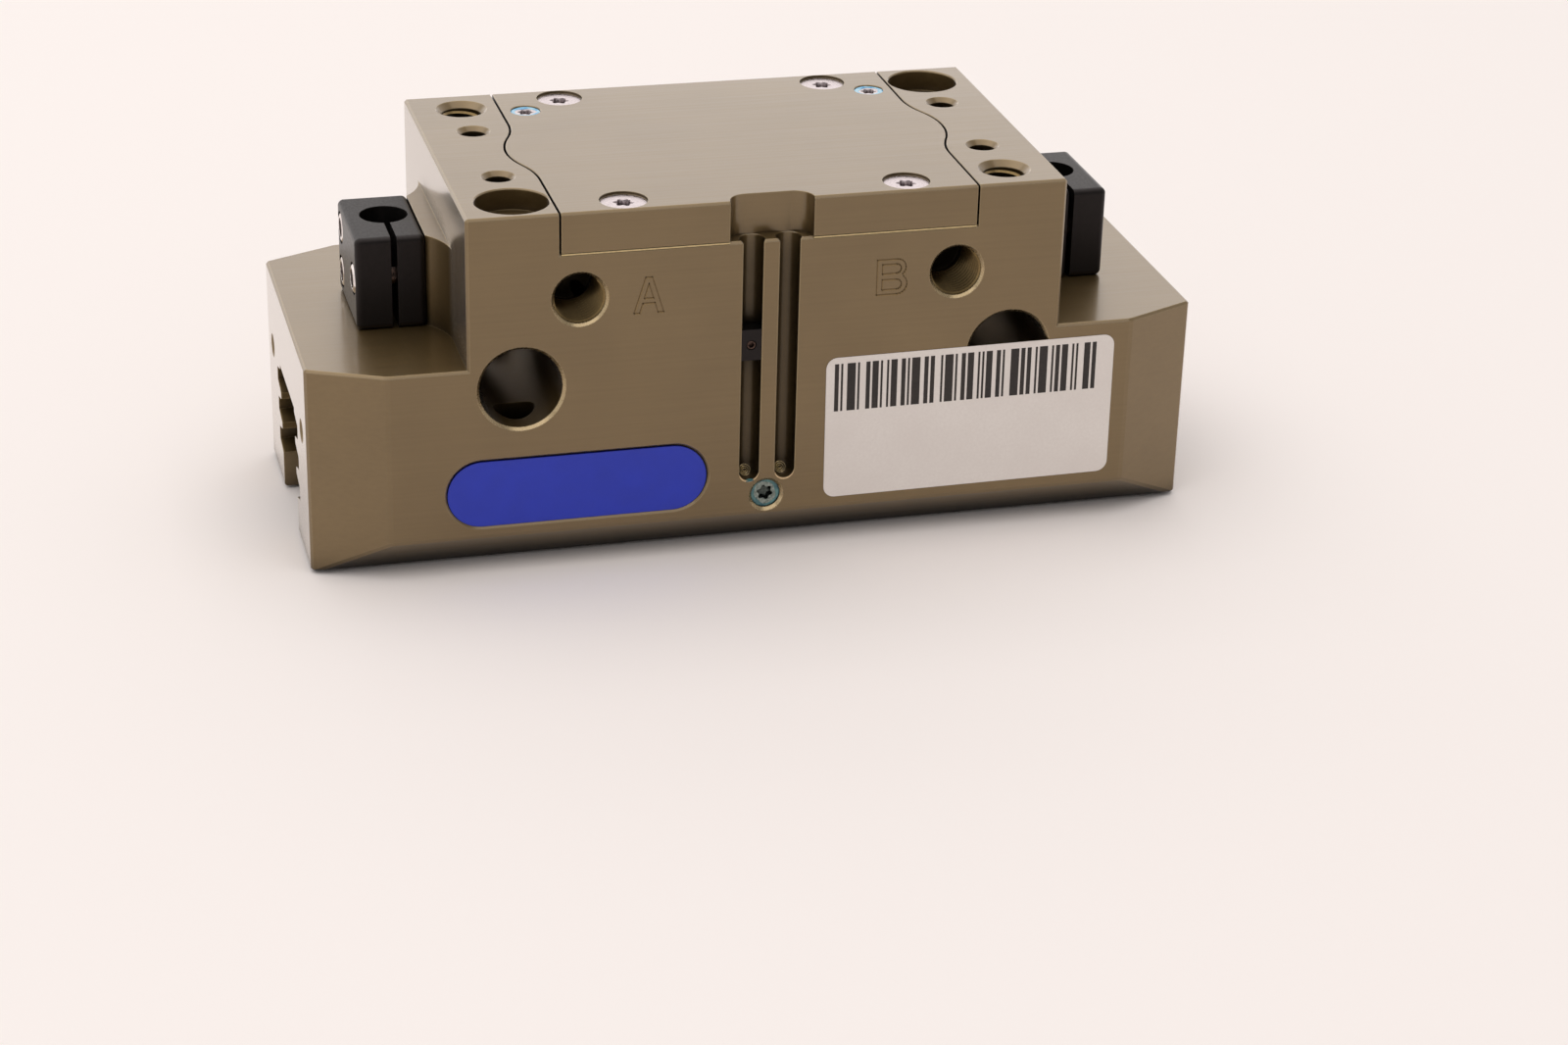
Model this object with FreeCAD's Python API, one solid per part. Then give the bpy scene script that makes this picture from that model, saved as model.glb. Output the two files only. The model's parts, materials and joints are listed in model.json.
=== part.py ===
import FreeCAD, Part
import math
import os

# Two-jaw pneumatic parallel gripper in its separate pieces, drawn with the jaws closed.
# Millimetres. The origin is midway between the jaws, on the plane of their finger faces.
# +X runs along the jaw travel, -Y faces the air ports, +Z points at the cylinder cover.

# Driving sizes of the wedge drive
PISTON_STROKE = 10.0
WEDGE_SLOPE = 0.6            # jaw travel for each millimetre of piston travel
HOOK_HEIGHT = 18.0
HOOK_WIDTH = 16.0
HOOK_STEP = 0.2              # top of the hook beyond its stem
HOOK_FLOOR_GAP = 0.7
HOOK_HEAD_GAP = 0.4
HOOK_POCKET_GAP = 0.5
HOOK_POCKET_CORNER = 2.5
STEM_DIAMETER = 16.0
RIB_NECK_THICKNESS = 3.0
RIB_NECK_WIDTH = 7.0
RIB_HEAD_THICKNESS = 3.0
RIB_HEAD_WIDTH = 12.0
WEDGE_CLEARANCE = 0.15
SLOT_FOOT_GAP = 0.4

# Driving sizes of the multi-tooth jaw guide
JAW_PROUD = 0.5              # finger faces stand this far out of the housing
GUIDE_FOOT = 8.6             # housing underside to the lowest groove
GUIDE_HEAD = 3.0             # highest groove to the roof of the guide
GUIDE_NECK_WIDTH = 18.4
TOOTH_COUNT = 3
TOOTH_PITCH = 5.55
TOOTH_DEPTH = 3.8
TOOTH_MOUTH = 4.4
TOOTH_ROOT = 2.4
GUIDE_CLEARANCE = 0.08
JAW_END_MARGIN = 0.5
JAW_EDGE = 0.4

# Driving sizes of the cylinder
CHAMBER_LENGTH = 63.0
CHAMBER_WIDTH = 43.0
PISTON_THICKNESS = 8.0
PISTON_END_GAP = 0.6
PISTON_SIDE_GAP = 0.6
PISTON_SEAL_GAP = 0.25
PISTON_EDGE = 0.6
PISTON_SEAL_HEIGHT = 3.0
PISTON_SEAL_DEPTH = 2.5
ROD_CLEARANCE = 0.05
ROD_SEAL_WIDTH = 2.4
ROD_SEAL_HEIGHT = 2.5
ROD_SEAL_GAP = 0.25
WEB_THICKNESS = 4.5          # floor between the chamber and the hook pocket
MAGNET_DIAMETER = 4.0
MAGNET_LENGTH = 5.0
MAGNET_WALL = 1.2
BOLT_DIAMETER = 8.0
BOLT_HEAD_DIAMETER = 13.0
BOLT_HEAD_HEIGHT = 4.5
BOLT_HEAD_GAP = 0.4
BOLT_REACH = 13.0            # thread length in the stem
BOLT_TIP_ROOM = 2.0

# Driving sizes of the cover
COVER_THICKNESS = 6.9
COVER_LAP = 3.1              # cover end beyond the chamber end
COVER_GAP = 0.35
COVER_EDGE = 0.12
COVER_BULGE = 3.0
COVER_BULGE_REACH = 14.0
NOTCH_WIDTH = 14.0
NOTCH_DEPTH = 3.4
NOTCH_CORNER = 3.2
COVER_SEAL_INSET = 1.2       # chamber wall to the seal groove
COVER_SEAL_WIDTH = 2.0
COVER_SEAL_HEIGHT = 1.6
COVER_SCREW_INSET_X = 11.0
COVER_SCREW_INSET_Y = 4.4
COVER_SCREW_LENGTH = 14.0
PLUG_INSET_X = 4.0
PLUG_INSET_Y = 9.9
PLUG_LENGTH = 6.0

# Driving sizes of the housing
SHOULDER_LENGTH = 15.4       # cover end to the end of the upper block
SIDE_WALL = 8.8
LEDGE_LENGTH = 25.5
LEDGE_DEPTH = 25.75
FACET_ALONG = 12.55
FACET_ACROSS = 5.65
BEVEL_RISE = 6.1
BEVEL_RUN = 5.3
EDGE_BREAK = 0.4

# Driving sizes of the holes in the housing, depths counted from the top face
CORNER_INSET_X = 8.75
CORNER_INSET_Y = 7.1
CORNER_THREAD_DIAMETER = 6.8
CORNER_HOLE_DEPTH = 44.5
CORNER_CHAMFER = 1.0
SLEEVE_DIAMETER = 12.0
SLEEVE_DEPTH = 3.65
SLEEVE_CHAMFER = 0.2
SMALL_HOLE_INSET_Y = 18.9
SMALL_HOLE_DIAMETER = 4.2
SMALL_HOLE_DEPTH = 12.0
SMALL_HOLE_CHAMFER = 0.75
HOLE_CHAMFER = 0.5
PORT_INSET = 18.4
PORT_DEPTH = 14.8
PORT_DIAMETER = 8.6
PORT_REACH = 12.0
PORT_CHAMFER = 0.45
PASSAGE_DIAMETER = 2.2
PASSAGE_END_GAP = 2.0
SIDE_HOLE_DEPTH = 29.6
SIDE_BORE_DIAMETER = 13.7
SIDE_BORE_REACH = 36.0
SIDE_BOLT_DIAMETER = 9.0
SENSOR_SLOT_SPACING = 6.1
SENSOR_SLOT_DIAMETER = 4.2
SENSOR_SLOT_SINK = 1.23      # slot axis behind the front face
SENSOR_SLOT_END = 49.4
SENSOR_SLOT_CHAMFER = 0.12
PURGE_DEPTH = 52.25
PURGE_PLUG_LENGTH = 6.0
PURGE_PLUG_SINK = 0.9
PURGE_PASSAGE_DIAMETER = 3.0
END_HOLE_SPACING = 37.0
END_HOLE_DEPTH = 39.0
END_HOLE_DIAMETER = 3.3
END_HOLE_REACH = 8.0
NAMEPLATE_POCKET_LENGTH = 43.7
NAMEPLATE_POCKET_HEIGHT = 11.9
NAMEPLATE_POCKET_DEPTH = 0.8
NAMEPLATE_POCKET_CHAMFER = 0.3
NAMEPLATE_OFFSET = -31.9     # middle of the pocket from the middle of the housing
NAMEPLATE_DEPTH = 47.7

# Driving sizes of the switch brackets and their pads
PAD_PROUD = 3.1
PAD_WIDTH = 19.0
PAD_FLANK = 7.5
PAD_TOP_DEPTH = 10.0
BRACKET_THICKNESS = 11.6
BRACKET_WIDTH = 20.4
BRACKET_HEIGHT = 15.9
BRACKET_EDGE = 1.0
SWITCH_DIAMETER = 8.0
SWITCH_INSET = 5.2           # bracket's seat to the switch axis
SWITCH_OFFSET = 1.0          # switch axis from the middle, towards the mounting screws
SWITCH_PASSAGE_GAP = 0.2
BRACKET_SLIT = 1.0
CLAMP_SCREW_OFFSET = 6.6
BRACKET_SCREW_OFFSET = 6.9
BRACKET_SCREW_SPACING = 7.8
BRACKET_SCREW_SINK = 0.6
BRACKET_SCREW_REACH = 8.0    # thread length in the housing

# Driving sizes of the small pieces
SCREW_DIAMETER = 3.0
SCREW_HEAD_DIAMETER = 5.5
SCREW_HEAD_HEIGHT = 3.0
COUNTERSUNK_DIAMETER = 4.0
COUNTERSUNK_HEAD_DIAMETER = 7.8
COUNTERSUNK_SINK = 0.45
SET_SCREW_DIAMETER = 5.0
SET_SCREW_SINK = 0.3
STOP_TOP_DEPTH = 22.4
STOP_HEIGHT = 5.4
STOP_CLEARANCE = 0.1
STOP_SCREW_DIAMETER = 1.6
STOP_SCREW_LENGTH = 1.6
JAW_COVER_THICKNESS = 1.8
JAW_COVER_WIDTH = 40.0
JAW_COVER_END_GAP = 0.4
JAW_COVER_SCREW_INSET = 4.3
JAW_COVER_SCREW_LENGTH = 8.0
FINGER_SPACING = 24.0
FINGER_END_INSET = 12.0
FINGER_THREAD_DIAMETER = 5.0
FINGER_HOLE_DEPTH = 14.0
FINGER_SLEEVE_DIAMETER = 10.0
FINGER_SLEEVE_DEPTH = 3.0
CAM_LENGTH = 12.0
CAM_WIDTH = 7.0
CAM_THICKNESS = 3.0
CAM_SINK = 0.15
CAM_SCREW_LENGTH = 8.0
FIT_GAP = 0.05               # round a piece that is fixed in its hole or recess
HEAD_KEY_SHARE = 0.8         # key of a cylinder-head screw against its thread
FLUSH_KEY_SHARE = 0.55       # key of a countersunk or set screw against its thread
SOCKET_SHARE = 0.45          # depth of a key socket against the thread
SCREW_EDGE_SHARE = 0.08      # broken edge of a screw against its thread

# Heights that follow from the stack of the drive, from the jaws up to the cover
JAW_TRAVEL = PISTON_STROKE * WEDGE_SLOPE
HOUSING_BOTTOM = JAW_PROUD
ROOF = HOUSING_BOTTOM + GUIDE_FOOT + (TOOTH_COUNT - 1) * TOOTH_PITCH + GUIDE_HEAD
HOOK_BOTTOM = HOUSING_BOTTOM + JAW_COVER_THICKNESS + HOOK_FLOOR_GAP
HOOK_TOP = HOOK_BOTTOM + HOOK_HEIGHT
POCKET_ROOF = HOOK_TOP + PISTON_STROKE + HOOK_HEAD_GAP
CHAMBER_FLOOR = POCKET_ROOF + WEB_THICKNESS
PISTON_BOTTOM = CHAMBER_FLOOR + PISTON_END_GAP
PISTON_TOP = PISTON_BOTTOM + PISTON_THICKNESS
COVER_SEAT = PISTON_TOP + PISTON_STROKE + PISTON_END_GAP
TOP = COVER_SEAT + COVER_THICKNESS
LEDGE = TOP - LEDGE_DEPTH

# Half lengths and half widths that follow from the chamber outwards
CHAMBER_HALF = CHAMBER_LENGTH / 2
COVER_HALF = CHAMBER_HALF + COVER_LAP
HEAD_HALF = COVER_HALF + SHOULDER_LENGTH
BODY_HALF = HEAD_HALF + LEDGE_LENGTH
SIDE = CHAMBER_WIDTH / 2 + SIDE_WALL
FRONT = -SIDE
STEM_RADIUS = STEM_DIAMETER / 2
HOOK_TOP_HALF = STEM_RADIUS + HOOK_STEP
HOOK_BOTTOM_HALF = HOOK_TOP_HALF + WEDGE_SLOPE * HOOK_HEIGHT
RIB_REACH = RIB_NECK_THICKNESS + RIB_HEAD_THICKNESS
JAW_END = BODY_HALF - JAW_TRAVEL - JAW_END_MARGIN
SEAT_X = HEAD_HALF + PAD_PROUD
SWITCH_X = SEAT_X + SWITCH_INSET
CORNER_X = HEAD_HALF - CORNER_INSET_X
CORNER_Y = SIDE - CORNER_INSET_Y
BRACKET_MIDDLE = LEDGE + BRACKET_HEIGHT / 2
JAW_COVER_HALF = HOOK_BOTTOM_HALF - JAW_COVER_END_GAP

X_AXIS = FreeCAD.Vector(1, 0, 0)
Y_AXIS = FreeCAD.Vector(0, 1, 0)
Z_AXIS = FreeCAD.Vector(0, 0, 1)
OVERCUT = 1.0                # how far a cutting tool runs past a face


def point(x, y, z):
    return FreeCAD.Vector(x, y, z)


def block(x0, x1, y0, y1, z0, z1):
    return Part.makeBox(x1 - x0, y1 - y0, z1 - z0, point(x0, y0, z0))


def rod(diameter, start, axis, length):
    return Part.makeCylinder(diameter / 2, length, start, axis)


def prism(corners, along):
    """A straight-sided outline pushed along a direction."""
    return Part.Face(Part.makePolygon(corners + [corners[0]])).extrude(along)


def turned(profile, start, axis):
    """A round piece from (radius, distance along the axis) points that end on the axis."""
    corners = [point(r, 0, t) for r, t in profile]
    solid = Part.Face(Part.makePolygon(corners + [corners[0]])).revolve(point(0, 0, 0), Z_AXIS, 360)
    solid.Placement = FreeCAD.Placement(start, FreeCAD.Rotation(Z_AXIS, axis))
    return solid


def stadium(half_length, half_width, z0, z1):
    """An oval with half-round ends, standing between two heights."""
    straight = half_length - half_width
    edges = [
        Part.LineSegment(point(-straight, -half_width, z0), point(straight, -half_width, z0)).toShape(),
        Part.Arc(point(straight, -half_width, z0), point(half_length, 0, z0),
                 point(straight, half_width, z0)).toShape(),
        Part.LineSegment(point(straight, half_width, z0), point(-straight, half_width, z0)).toShape(),
        Part.Arc(point(-straight, half_width, z0), point(-half_length, 0, z0),
                 point(-straight, -half_width, z0)).toShape(),
    ]
    return Part.Face(Part.Wire(edges)).extrude(point(0, 0, z1 - z0))


def oval_ring(outer_length, outer_width, width, z0, z1):
    outer = stadium(outer_length, outer_width, z0, z1)
    return outer.cut(stadium(outer_length - width, outer_width - width, z0 - OVERCUT, z1 + OVERCUT))


def chamfered_hole(diameter, mouth, inward, depth, chamfer):
    """A drilled hole with a broken edge, as a cutting tool that starts at its mouth."""
    radius = diameter / 2
    profile = [
        (0, -OVERCUT),
        (radius + chamfer + OVERCUT, -OVERCUT),
        (radius, chamfer),
        (radius, depth),
        (0, depth),
    ]
    return turned(profile, mouth, inward)


def key_socket(key, depth, mouth, inward):
    """A six-sided key socket, as a cutting tool."""
    radius = key / math.sqrt(3)
    corners = []
    for k in range(6):
        angle = math.radians(60 * k)
        corners.append(point(radius * math.cos(angle), radius * math.sin(angle), -OVERCUT))
    tool = prism(corners, point(0, 0, depth + OVERCUT))
    tool.Placement = FreeCAD.Placement(mouth, FreeCAD.Rotation(Z_AXIS, inward))
    return tool


def cap_screw(diameter, head_diameter, head_height, length, top, inward):
    """A cylinder-head screw from the top of its head inwards."""
    radius = diameter / 2
    head_radius = head_diameter / 2
    edge = diameter * SCREW_EDGE_SHARE
    profile = [
        (0, 0),
        (head_radius - edge, 0),
        (head_radius, edge),
        (head_radius, head_height),
        (radius, head_height),
        (radius, head_height + length),
        (0, head_height + length),
    ]
    socket = key_socket(diameter * HEAD_KEY_SHARE, diameter * SOCKET_SHARE, top, inward)
    return turned(profile, top, inward).cut(socket)


def countersunk_profile(diameter, head_diameter, length, gap):
    radius = diameter / 2 + gap
    head_radius = head_diameter / 2 + gap
    return [(0, 0), (head_radius, 0), (radius, head_radius - radius), (radius, length), (0, length)]


def countersunk_screw(diameter, head_diameter, length, top, inward):
    socket = key_socket(diameter * FLUSH_KEY_SHARE, diameter * SOCKET_SHARE, top, inward)
    return turned(countersunk_profile(diameter, head_diameter, length, 0), top, inward).cut(socket)


def countersunk_hole(diameter, head_diameter, length, sink, face, inward):
    """The seat of a countersunk screw whose head lies a little below the face."""
    top = face + inward * sink
    seat = turned(countersunk_profile(diameter, head_diameter, length + FIT_GAP, FIT_GAP), top, inward)
    return seat.fuse(rod(head_diameter + 2 * FIT_GAP, face - inward * OVERCUT, inward, sink + OVERCUT))


def set_screw(diameter, length, top, inward):
    socket = key_socket(diameter * FLUSH_KEY_SHARE, diameter * SOCKET_SHARE, top, inward)
    edge = diameter * SCREW_EDGE_SHARE
    radius = diameter / 2
    profile = [
        (0, 0),
        (radius - edge, 0),
        (radius, edge),
        (radius, length - edge),
        (radius - edge, length),
        (0, length),
    ]
    return turned(profile, top, inward).cut(socket)


def half_turn(shape):
    """The same piece on the other side, turned about the vertical axis."""
    copy = shape.copy()
    copy.rotate(point(0, 0, 0), Z_AXIS, 180)
    return copy


def turned_over(shape):
    """The same bracket piece at the other end, turned over so that its front stays in front."""
    copy = shape.copy()
    copy.rotate(point(0, 0, BRACKET_MIDDLE), Y_AXIS, 180)
    return copy


def four_corners(x, y):
    return [(sx * x, sy * y) for sx in (-1, 1) for sy in (-1, 1)]


def flank(height, offset):
    """Distance from the middle to the inclined flank of the hook, at a height, plus an offset."""
    return HOOK_BOTTOM_HALF - WEDGE_SLOPE * (height - HOOK_BOTTOM) + offset


def flank_bar(z0, z1, inner, outer, half_width):
    """A bar that follows the right-hand flank of the hook between two offsets from it."""
    corners = [
        point(flank(z0, inner), -half_width, z0),
        point(flank(z0, outer), -half_width, z0),
        point(flank(z1, outer), -half_width, z1),
        point(flank(z1, inner), -half_width, z1),
    ]
    return prism(corners, point(0, 2 * half_width, 0))


def guide_outline(x, clearance, bottom):
    """The multi-tooth section of the jaw guide in a plane across the travel."""
    neck = GUIDE_NECK_WIDTH / 2 - clearance
    tip = neck + TOOTH_DEPTH
    mouth = TOOTH_MOUTH / 2 - clearance
    root = TOOTH_ROOT / 2 - clearance
    side = [(neck, bottom)]
    for k in range(TOOTH_COUNT):
        middle = HOUSING_BOTTOM + GUIDE_FOOT + k * TOOTH_PITCH
        side += [(neck, middle - mouth), (tip, middle - root), (tip, middle + root), (neck, middle + mouth)]
    side.append((neck, ROOF - clearance))
    mirrored = [(-y, z) for y, z in reversed(side)]
    return [point(x, y, z) for y, z in side + mirrored]


def head_block():
    """The upper block of the housing, reaching down into the lower block."""
    solid = block(-HEAD_HALF, HEAD_HALF, -SIDE, SIDE, ROOF, TOP)
    edges = [e for e in solid.Edges if e.BoundBox.ZMax > ROOF + OVERCUT]
    return solid.makeChamfer(EDGE_BREAK, edges)


def cover_blank(gap, z0, z1):
    """The cover's outline: straight sides that bulge out round the chamber's ends."""
    edge = COVER_HALF + gap
    crest = edge + COVER_BULGE
    half_rise = COVER_BULGE / 2
    reach = COVER_BULGE_REACH
    bend = (reach ** 2 + COVER_BULGE ** 2) / (4 * COVER_BULGE)
    quarter = bend - math.sqrt(bend ** 2 - (reach / 4) ** 2)
    far = SIDE + OVERCUT
    shape_edges = []
    for side in (1, -1):
        start = point(side * edge, -side * far, z0)
        foot = point(side * edge, -side * reach, z0)
        foot_bend = point(side * (edge + quarter), -side * reach * 3 / 4, z0)
        swap = point(side * (edge + half_rise), -side * reach / 2, z0)
        top = point(side * crest, 0, z0)
        back_swap = point(side * (edge + half_rise), side * reach / 2, z0)
        back_bend = point(side * (edge + quarter), side * reach * 3 / 4, z0)
        back_foot = point(side * edge, side * reach, z0)
        end = point(side * edge, side * far, z0)
        following = point(-side * edge, side * far, z0)
        shape_edges += [
            Part.LineSegment(start, foot).toShape(),
            Part.Arc(foot, foot_bend, swap).toShape(),
            Part.Arc(swap, top, back_swap).toShape(),
            Part.Arc(back_swap, back_bend, back_foot).toShape(),
            Part.LineSegment(back_foot, end).toShape(),
            Part.LineSegment(end, following).toShape(),
        ]
    return Part.Face(Part.Wire(shape_edges)).extrude(point(0, 0, z1 - z0))


def cover_screw_places():
    return four_corners(COVER_HALF - COVER_SCREW_INSET_X, SIDE - COVER_SCREW_INSET_Y)


def cover_plug_places():
    return [(side * (COVER_HALF - PLUG_INSET_X), SIDE - PLUG_INSET_Y) for side in (-1, 1)]


def jaw_cover_screw_places():
    return four_corners(JAW_COVER_HALF - JAW_COVER_SCREW_INSET, JAW_COVER_WIDTH / 2 - JAW_COVER_SCREW_INSET)


def slot_places():
    return [side * SENSOR_SLOT_SPACING / 2 for side in (-1, 1)]


def lower_block():
    """The long lower block with faceted corners and bevelled bottom edges."""
    end_side = SIDE - FACET_ACROSS
    shoulder = BODY_HALF - FACET_ALONG
    quarter = [(BODY_HALF, end_side), (shoulder, SIDE)]
    plan = quarter + [(-x, y) for x, y in reversed(quarter)]
    plan += [(-x, -y) for x, y in quarter] + [(x, -y) for x, y in reversed(quarter)]
    solid = prism([point(x, y, HOUSING_BOTTOM) for x, y in plan], point(0, 0, LEDGE - HOUSING_BOTTOM))
    foot = SIDE - BEVEL_RUN
    section = [
        (-foot, HOUSING_BOTTOM),
        (foot, HOUSING_BOTTOM),
        (SIDE, HOUSING_BOTTOM + BEVEL_RISE),
        (SIDE, LEDGE),
        (-SIDE, LEDGE),
        (-SIDE, HOUSING_BOTTOM + BEVEL_RISE),
    ]
    envelope = prism([point(-BODY_HALF, y, z) for y, z in section], point(2 * BODY_HALF, 0, 0))
    solid = solid.common(envelope).removeSplitter()
    return solid.makeChamfer(EDGE_BREAK, solid.Edges)


def switch_pad():
    """The raised seat for the right-hand bracket, with hollow flanks that run out on the block's end."""
    half = PAD_WIDTH / 2
    tail = half + PAD_FLANK
    radius = (PAD_FLANK ** 2 + PAD_PROUD ** 2) / (2 * PAD_PROUD)
    sweep = math.asin(PAD_FLANK / radius) / 2
    bend_x = HEAD_HALF + radius * (1 - math.cos(sweep))
    bend_y = tail - radius * math.sin(sweep)
    inside = HEAD_HALF - OVERCUT
    outline = [(SEAT_X, half), (bend_x, bend_y), (HEAD_HALF, tail), (inside, tail)]
    far, far_bend, far_tail, far_root = [point(x, y, LEDGE) for x, y in outline]
    near, near_bend, near_tail, near_root = [point(x, -y, LEDGE) for x, y in outline]
    edges = [
        Part.LineSegment(near, far).toShape(),
        Part.Arc(far, far_bend, far_tail).toShape(),
        Part.LineSegment(far_tail, far_root).toShape(),
        Part.LineSegment(far_root, near_root).toShape(),
        Part.LineSegment(near_root, near_tail).toShape(),
        Part.Arc(near_tail, near_bend, near).toShape(),
    ]
    return Part.Face(Part.Wire(edges)).extrude(point(0, 0, TOP - PAD_TOP_DEPTH - LEDGE))


def bracket_screw_heights():
    return [BRACKET_MIDDLE + side * BRACKET_SCREW_SPACING / 2 for side in (-1, 1)]


def drive_cuts():
    """The hollows of the drive: guide, hook pocket, stem bore, chamber and the seats of the seals."""
    guide = prism(guide_outline(-BODY_HALF - OVERCUT, 0, HOUSING_BOTTOM - OVERCUT),
                  point(2 * (BODY_HALF + OVERCUT), 0, 0))
    raised = flank(ROOF - PISTON_STROKE, RIB_REACH)
    pocket_half = raised + HOOK_POCKET_GAP
    pocket_side = HOOK_WIDTH / 2 + HOOK_POCKET_GAP
    pocket = block(-pocket_half, pocket_half, -pocket_side, pocket_side, ROOF - OVERCUT, POCKET_ROOF)
    upright = [e for e in pocket.Edges if e.BoundBox.ZLength > OVERCUT]
    pocket = pocket.makeFillet(HOOK_POCKET_CORNER, upright)
    bore = rod(STEM_DIAMETER + 2 * ROD_CLEARANCE, point(0, 0, POCKET_ROOF - OVERCUT), Z_AXIS,
               WEB_THICKNESS + 2 * OVERCUT)
    chamber = stadium(CHAMBER_HALF, CHAMBER_WIDTH / 2, CHAMBER_FLOOR, COVER_SEAT + OVERCUT)
    return [guide, pocket, bore, chamber, rod_seal_shape(FIT_GAP), cover_seal_shape(FIT_GAP)]


def rod_seal_shape(gap):
    """The rod seal, or with a gap its seat, in the middle of the web."""
    low = POCKET_ROOF + (WEB_THICKNESS - ROD_SEAL_HEIGHT) / 2
    inner = STEM_DIAMETER / 2 + ROD_SEAL_GAP
    ring = rod(2 * (inner + ROD_SEAL_WIDTH + gap), point(0, 0, low - gap), Z_AXIS, ROD_SEAL_HEIGHT + 2 * gap)
    if gap:
        return ring
    return ring.cut(rod(2 * inner, point(0, 0, low - OVERCUT), Z_AXIS, ROD_SEAL_HEIGHT + 2 * OVERCUT))


def cover_seal_shape(gap):
    """The seal round the chamber's mouth, or with a gap its groove."""
    reach = COVER_SEAL_INSET + COVER_SEAL_WIDTH + gap
    return oval_ring(CHAMBER_HALF + reach, CHAMBER_WIDTH / 2 + reach, COVER_SEAL_WIDTH + 2 * gap,
                     COVER_SEAT - COVER_SEAL_HEIGHT - gap, COVER_SEAT + (OVERCUT if gap else 0))


def top_cuts():
    """Threads and sleeve seats in the shoulders beside the cover."""
    tools = []
    for x, y in four_corners(CORNER_X, CORNER_Y):
        mouth = point(x, y, TOP)
        if x * y > 0:
            tools.append(rod(CORNER_THREAD_DIAMETER, mouth, -Z_AXIS, CORNER_HOLE_DEPTH))
            tools.append(chamfered_hole(SLEEVE_DIAMETER, mouth, -Z_AXIS, SLEEVE_DEPTH, SLEEVE_CHAMFER))
        else:
            tools.append(chamfered_hole(CORNER_THREAD_DIAMETER, mouth, -Z_AXIS, CORNER_HOLE_DEPTH,
                                        CORNER_CHAMFER))
    for x, y in four_corners(CORNER_X, SIDE - SMALL_HOLE_INSET_Y):
        tools.append(chamfered_hole(SMALL_HOLE_DIAMETER, point(x, y, TOP), -Z_AXIS, SMALL_HOLE_DEPTH,
                                    SMALL_HOLE_CHAMFER))
    for x, y in cover_screw_places():
        tools.append(rod(COUNTERSUNK_DIAMETER + 2 * FIT_GAP, point(x, y, TOP), -Z_AXIS,
                         COVER_SCREW_LENGTH + COUNTERSUNK_SINK + OVERCUT))
    return tools


def nameplate_pocket():
    """The shallow pocket for the nameplate, with its edge broken."""
    half = NAMEPLATE_POCKET_LENGTH / 2
    side = NAMEPLATE_POCKET_HEIGHT / 2
    edge = NAMEPLATE_POCKET_CHAMFER
    mouth = stadium(half + edge, side + edge, -OVERCUT, edge)
    mouth = mouth.makeChamfer(edge, [e for e in mouth.Edges if e.BoundBox.ZMin > edge - FIT_GAP])
    pocket = stadium(half, side, 0, NAMEPLATE_POCKET_DEPTH).fuse(mouth)
    pocket.Placement = FreeCAD.Placement(point(NAMEPLATE_OFFSET, FRONT, TOP - NAMEPLATE_DEPTH),
                                         FreeCAD.Rotation(X_AXIS, -90))
    return pocket


def front_cuts():
    """Ports, side bolt holes, ball-ended sensor slots, the purge hole and the nameplate's pocket."""
    tools = []
    chamber_arc_x = CHAMBER_HALF - CHAMBER_WIDTH / 2
    exits = {-1: CHAMBER_FLOOR + PASSAGE_END_GAP, 1: COVER_SEAT - PASSAGE_END_GAP}
    for side, exit_height in exits.items():
        port = point(side * (HEAD_HALF - PORT_INSET), FRONT, TOP - PORT_DEPTH)
        tools.append(chamfered_hole(PORT_DIAMETER, port, Y_AXIS, PORT_REACH, PORT_CHAMFER))
        start = port + Y_AXIS * (PORT_REACH - PASSAGE_DIAMETER)
        goal = point(side * chamber_arc_x, 0, exit_height)
        plan = math.hypot(goal.x - start.x, goal.y - start.y)
        inside = 1 - (CHAMBER_WIDTH / 2 - PISTON_SIDE_GAP) / plan
        end = point(start.x + (goal.x - start.x) * inside, start.y + (goal.y - start.y) * inside, exit_height)
        way = end - start
        tools.append(rod(PASSAGE_DIAMETER, start, way, way.Length))
        bolt = point(side * CORNER_X, FRONT, TOP - SIDE_HOLE_DEPTH)
        tools.append(chamfered_hole(SIDE_BORE_DIAMETER, bolt, Y_AXIS, SIDE_BORE_REACH, HOLE_CHAMFER))
        tools.append(rod(SIDE_BOLT_DIAMETER, bolt, Y_AXIS, 2 * SIDE + OVERCUT))
    slot_radius = SENSOR_SLOT_DIAMETER / 2
    half_gap = math.sqrt(slot_radius ** 2 - SENSOR_SLOT_SINK ** 2)
    low = TOP - SENSOR_SLOT_END + half_gap
    for x in slot_places():
        mouth = point(x, FRONT + SENSOR_SLOT_SINK, COVER_SEAT)
        tools.append(chamfered_hole(SENSOR_SLOT_DIAMETER, mouth, -Z_AXIS, COVER_SEAT - low,
                                    SENSOR_SLOT_CHAMFER))
        tools.append(Part.makeSphere(slot_radius, point(x, FRONT + SENSOR_SLOT_SINK, low)))
    purge = point(0, FRONT, TOP - PURGE_DEPTH)
    tools.append(chamfered_hole(SET_SCREW_DIAMETER + 2 * FIT_GAP, purge, Y_AXIS,
                                PURGE_PLUG_LENGTH + PURGE_PLUG_SINK + FIT_GAP, HOLE_CHAMFER))
    tools.append(rod(PURGE_PASSAGE_DIAMETER, purge, Y_AXIS, SIDE))
    tools.append(nameplate_pocket())
    return tools


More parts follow.
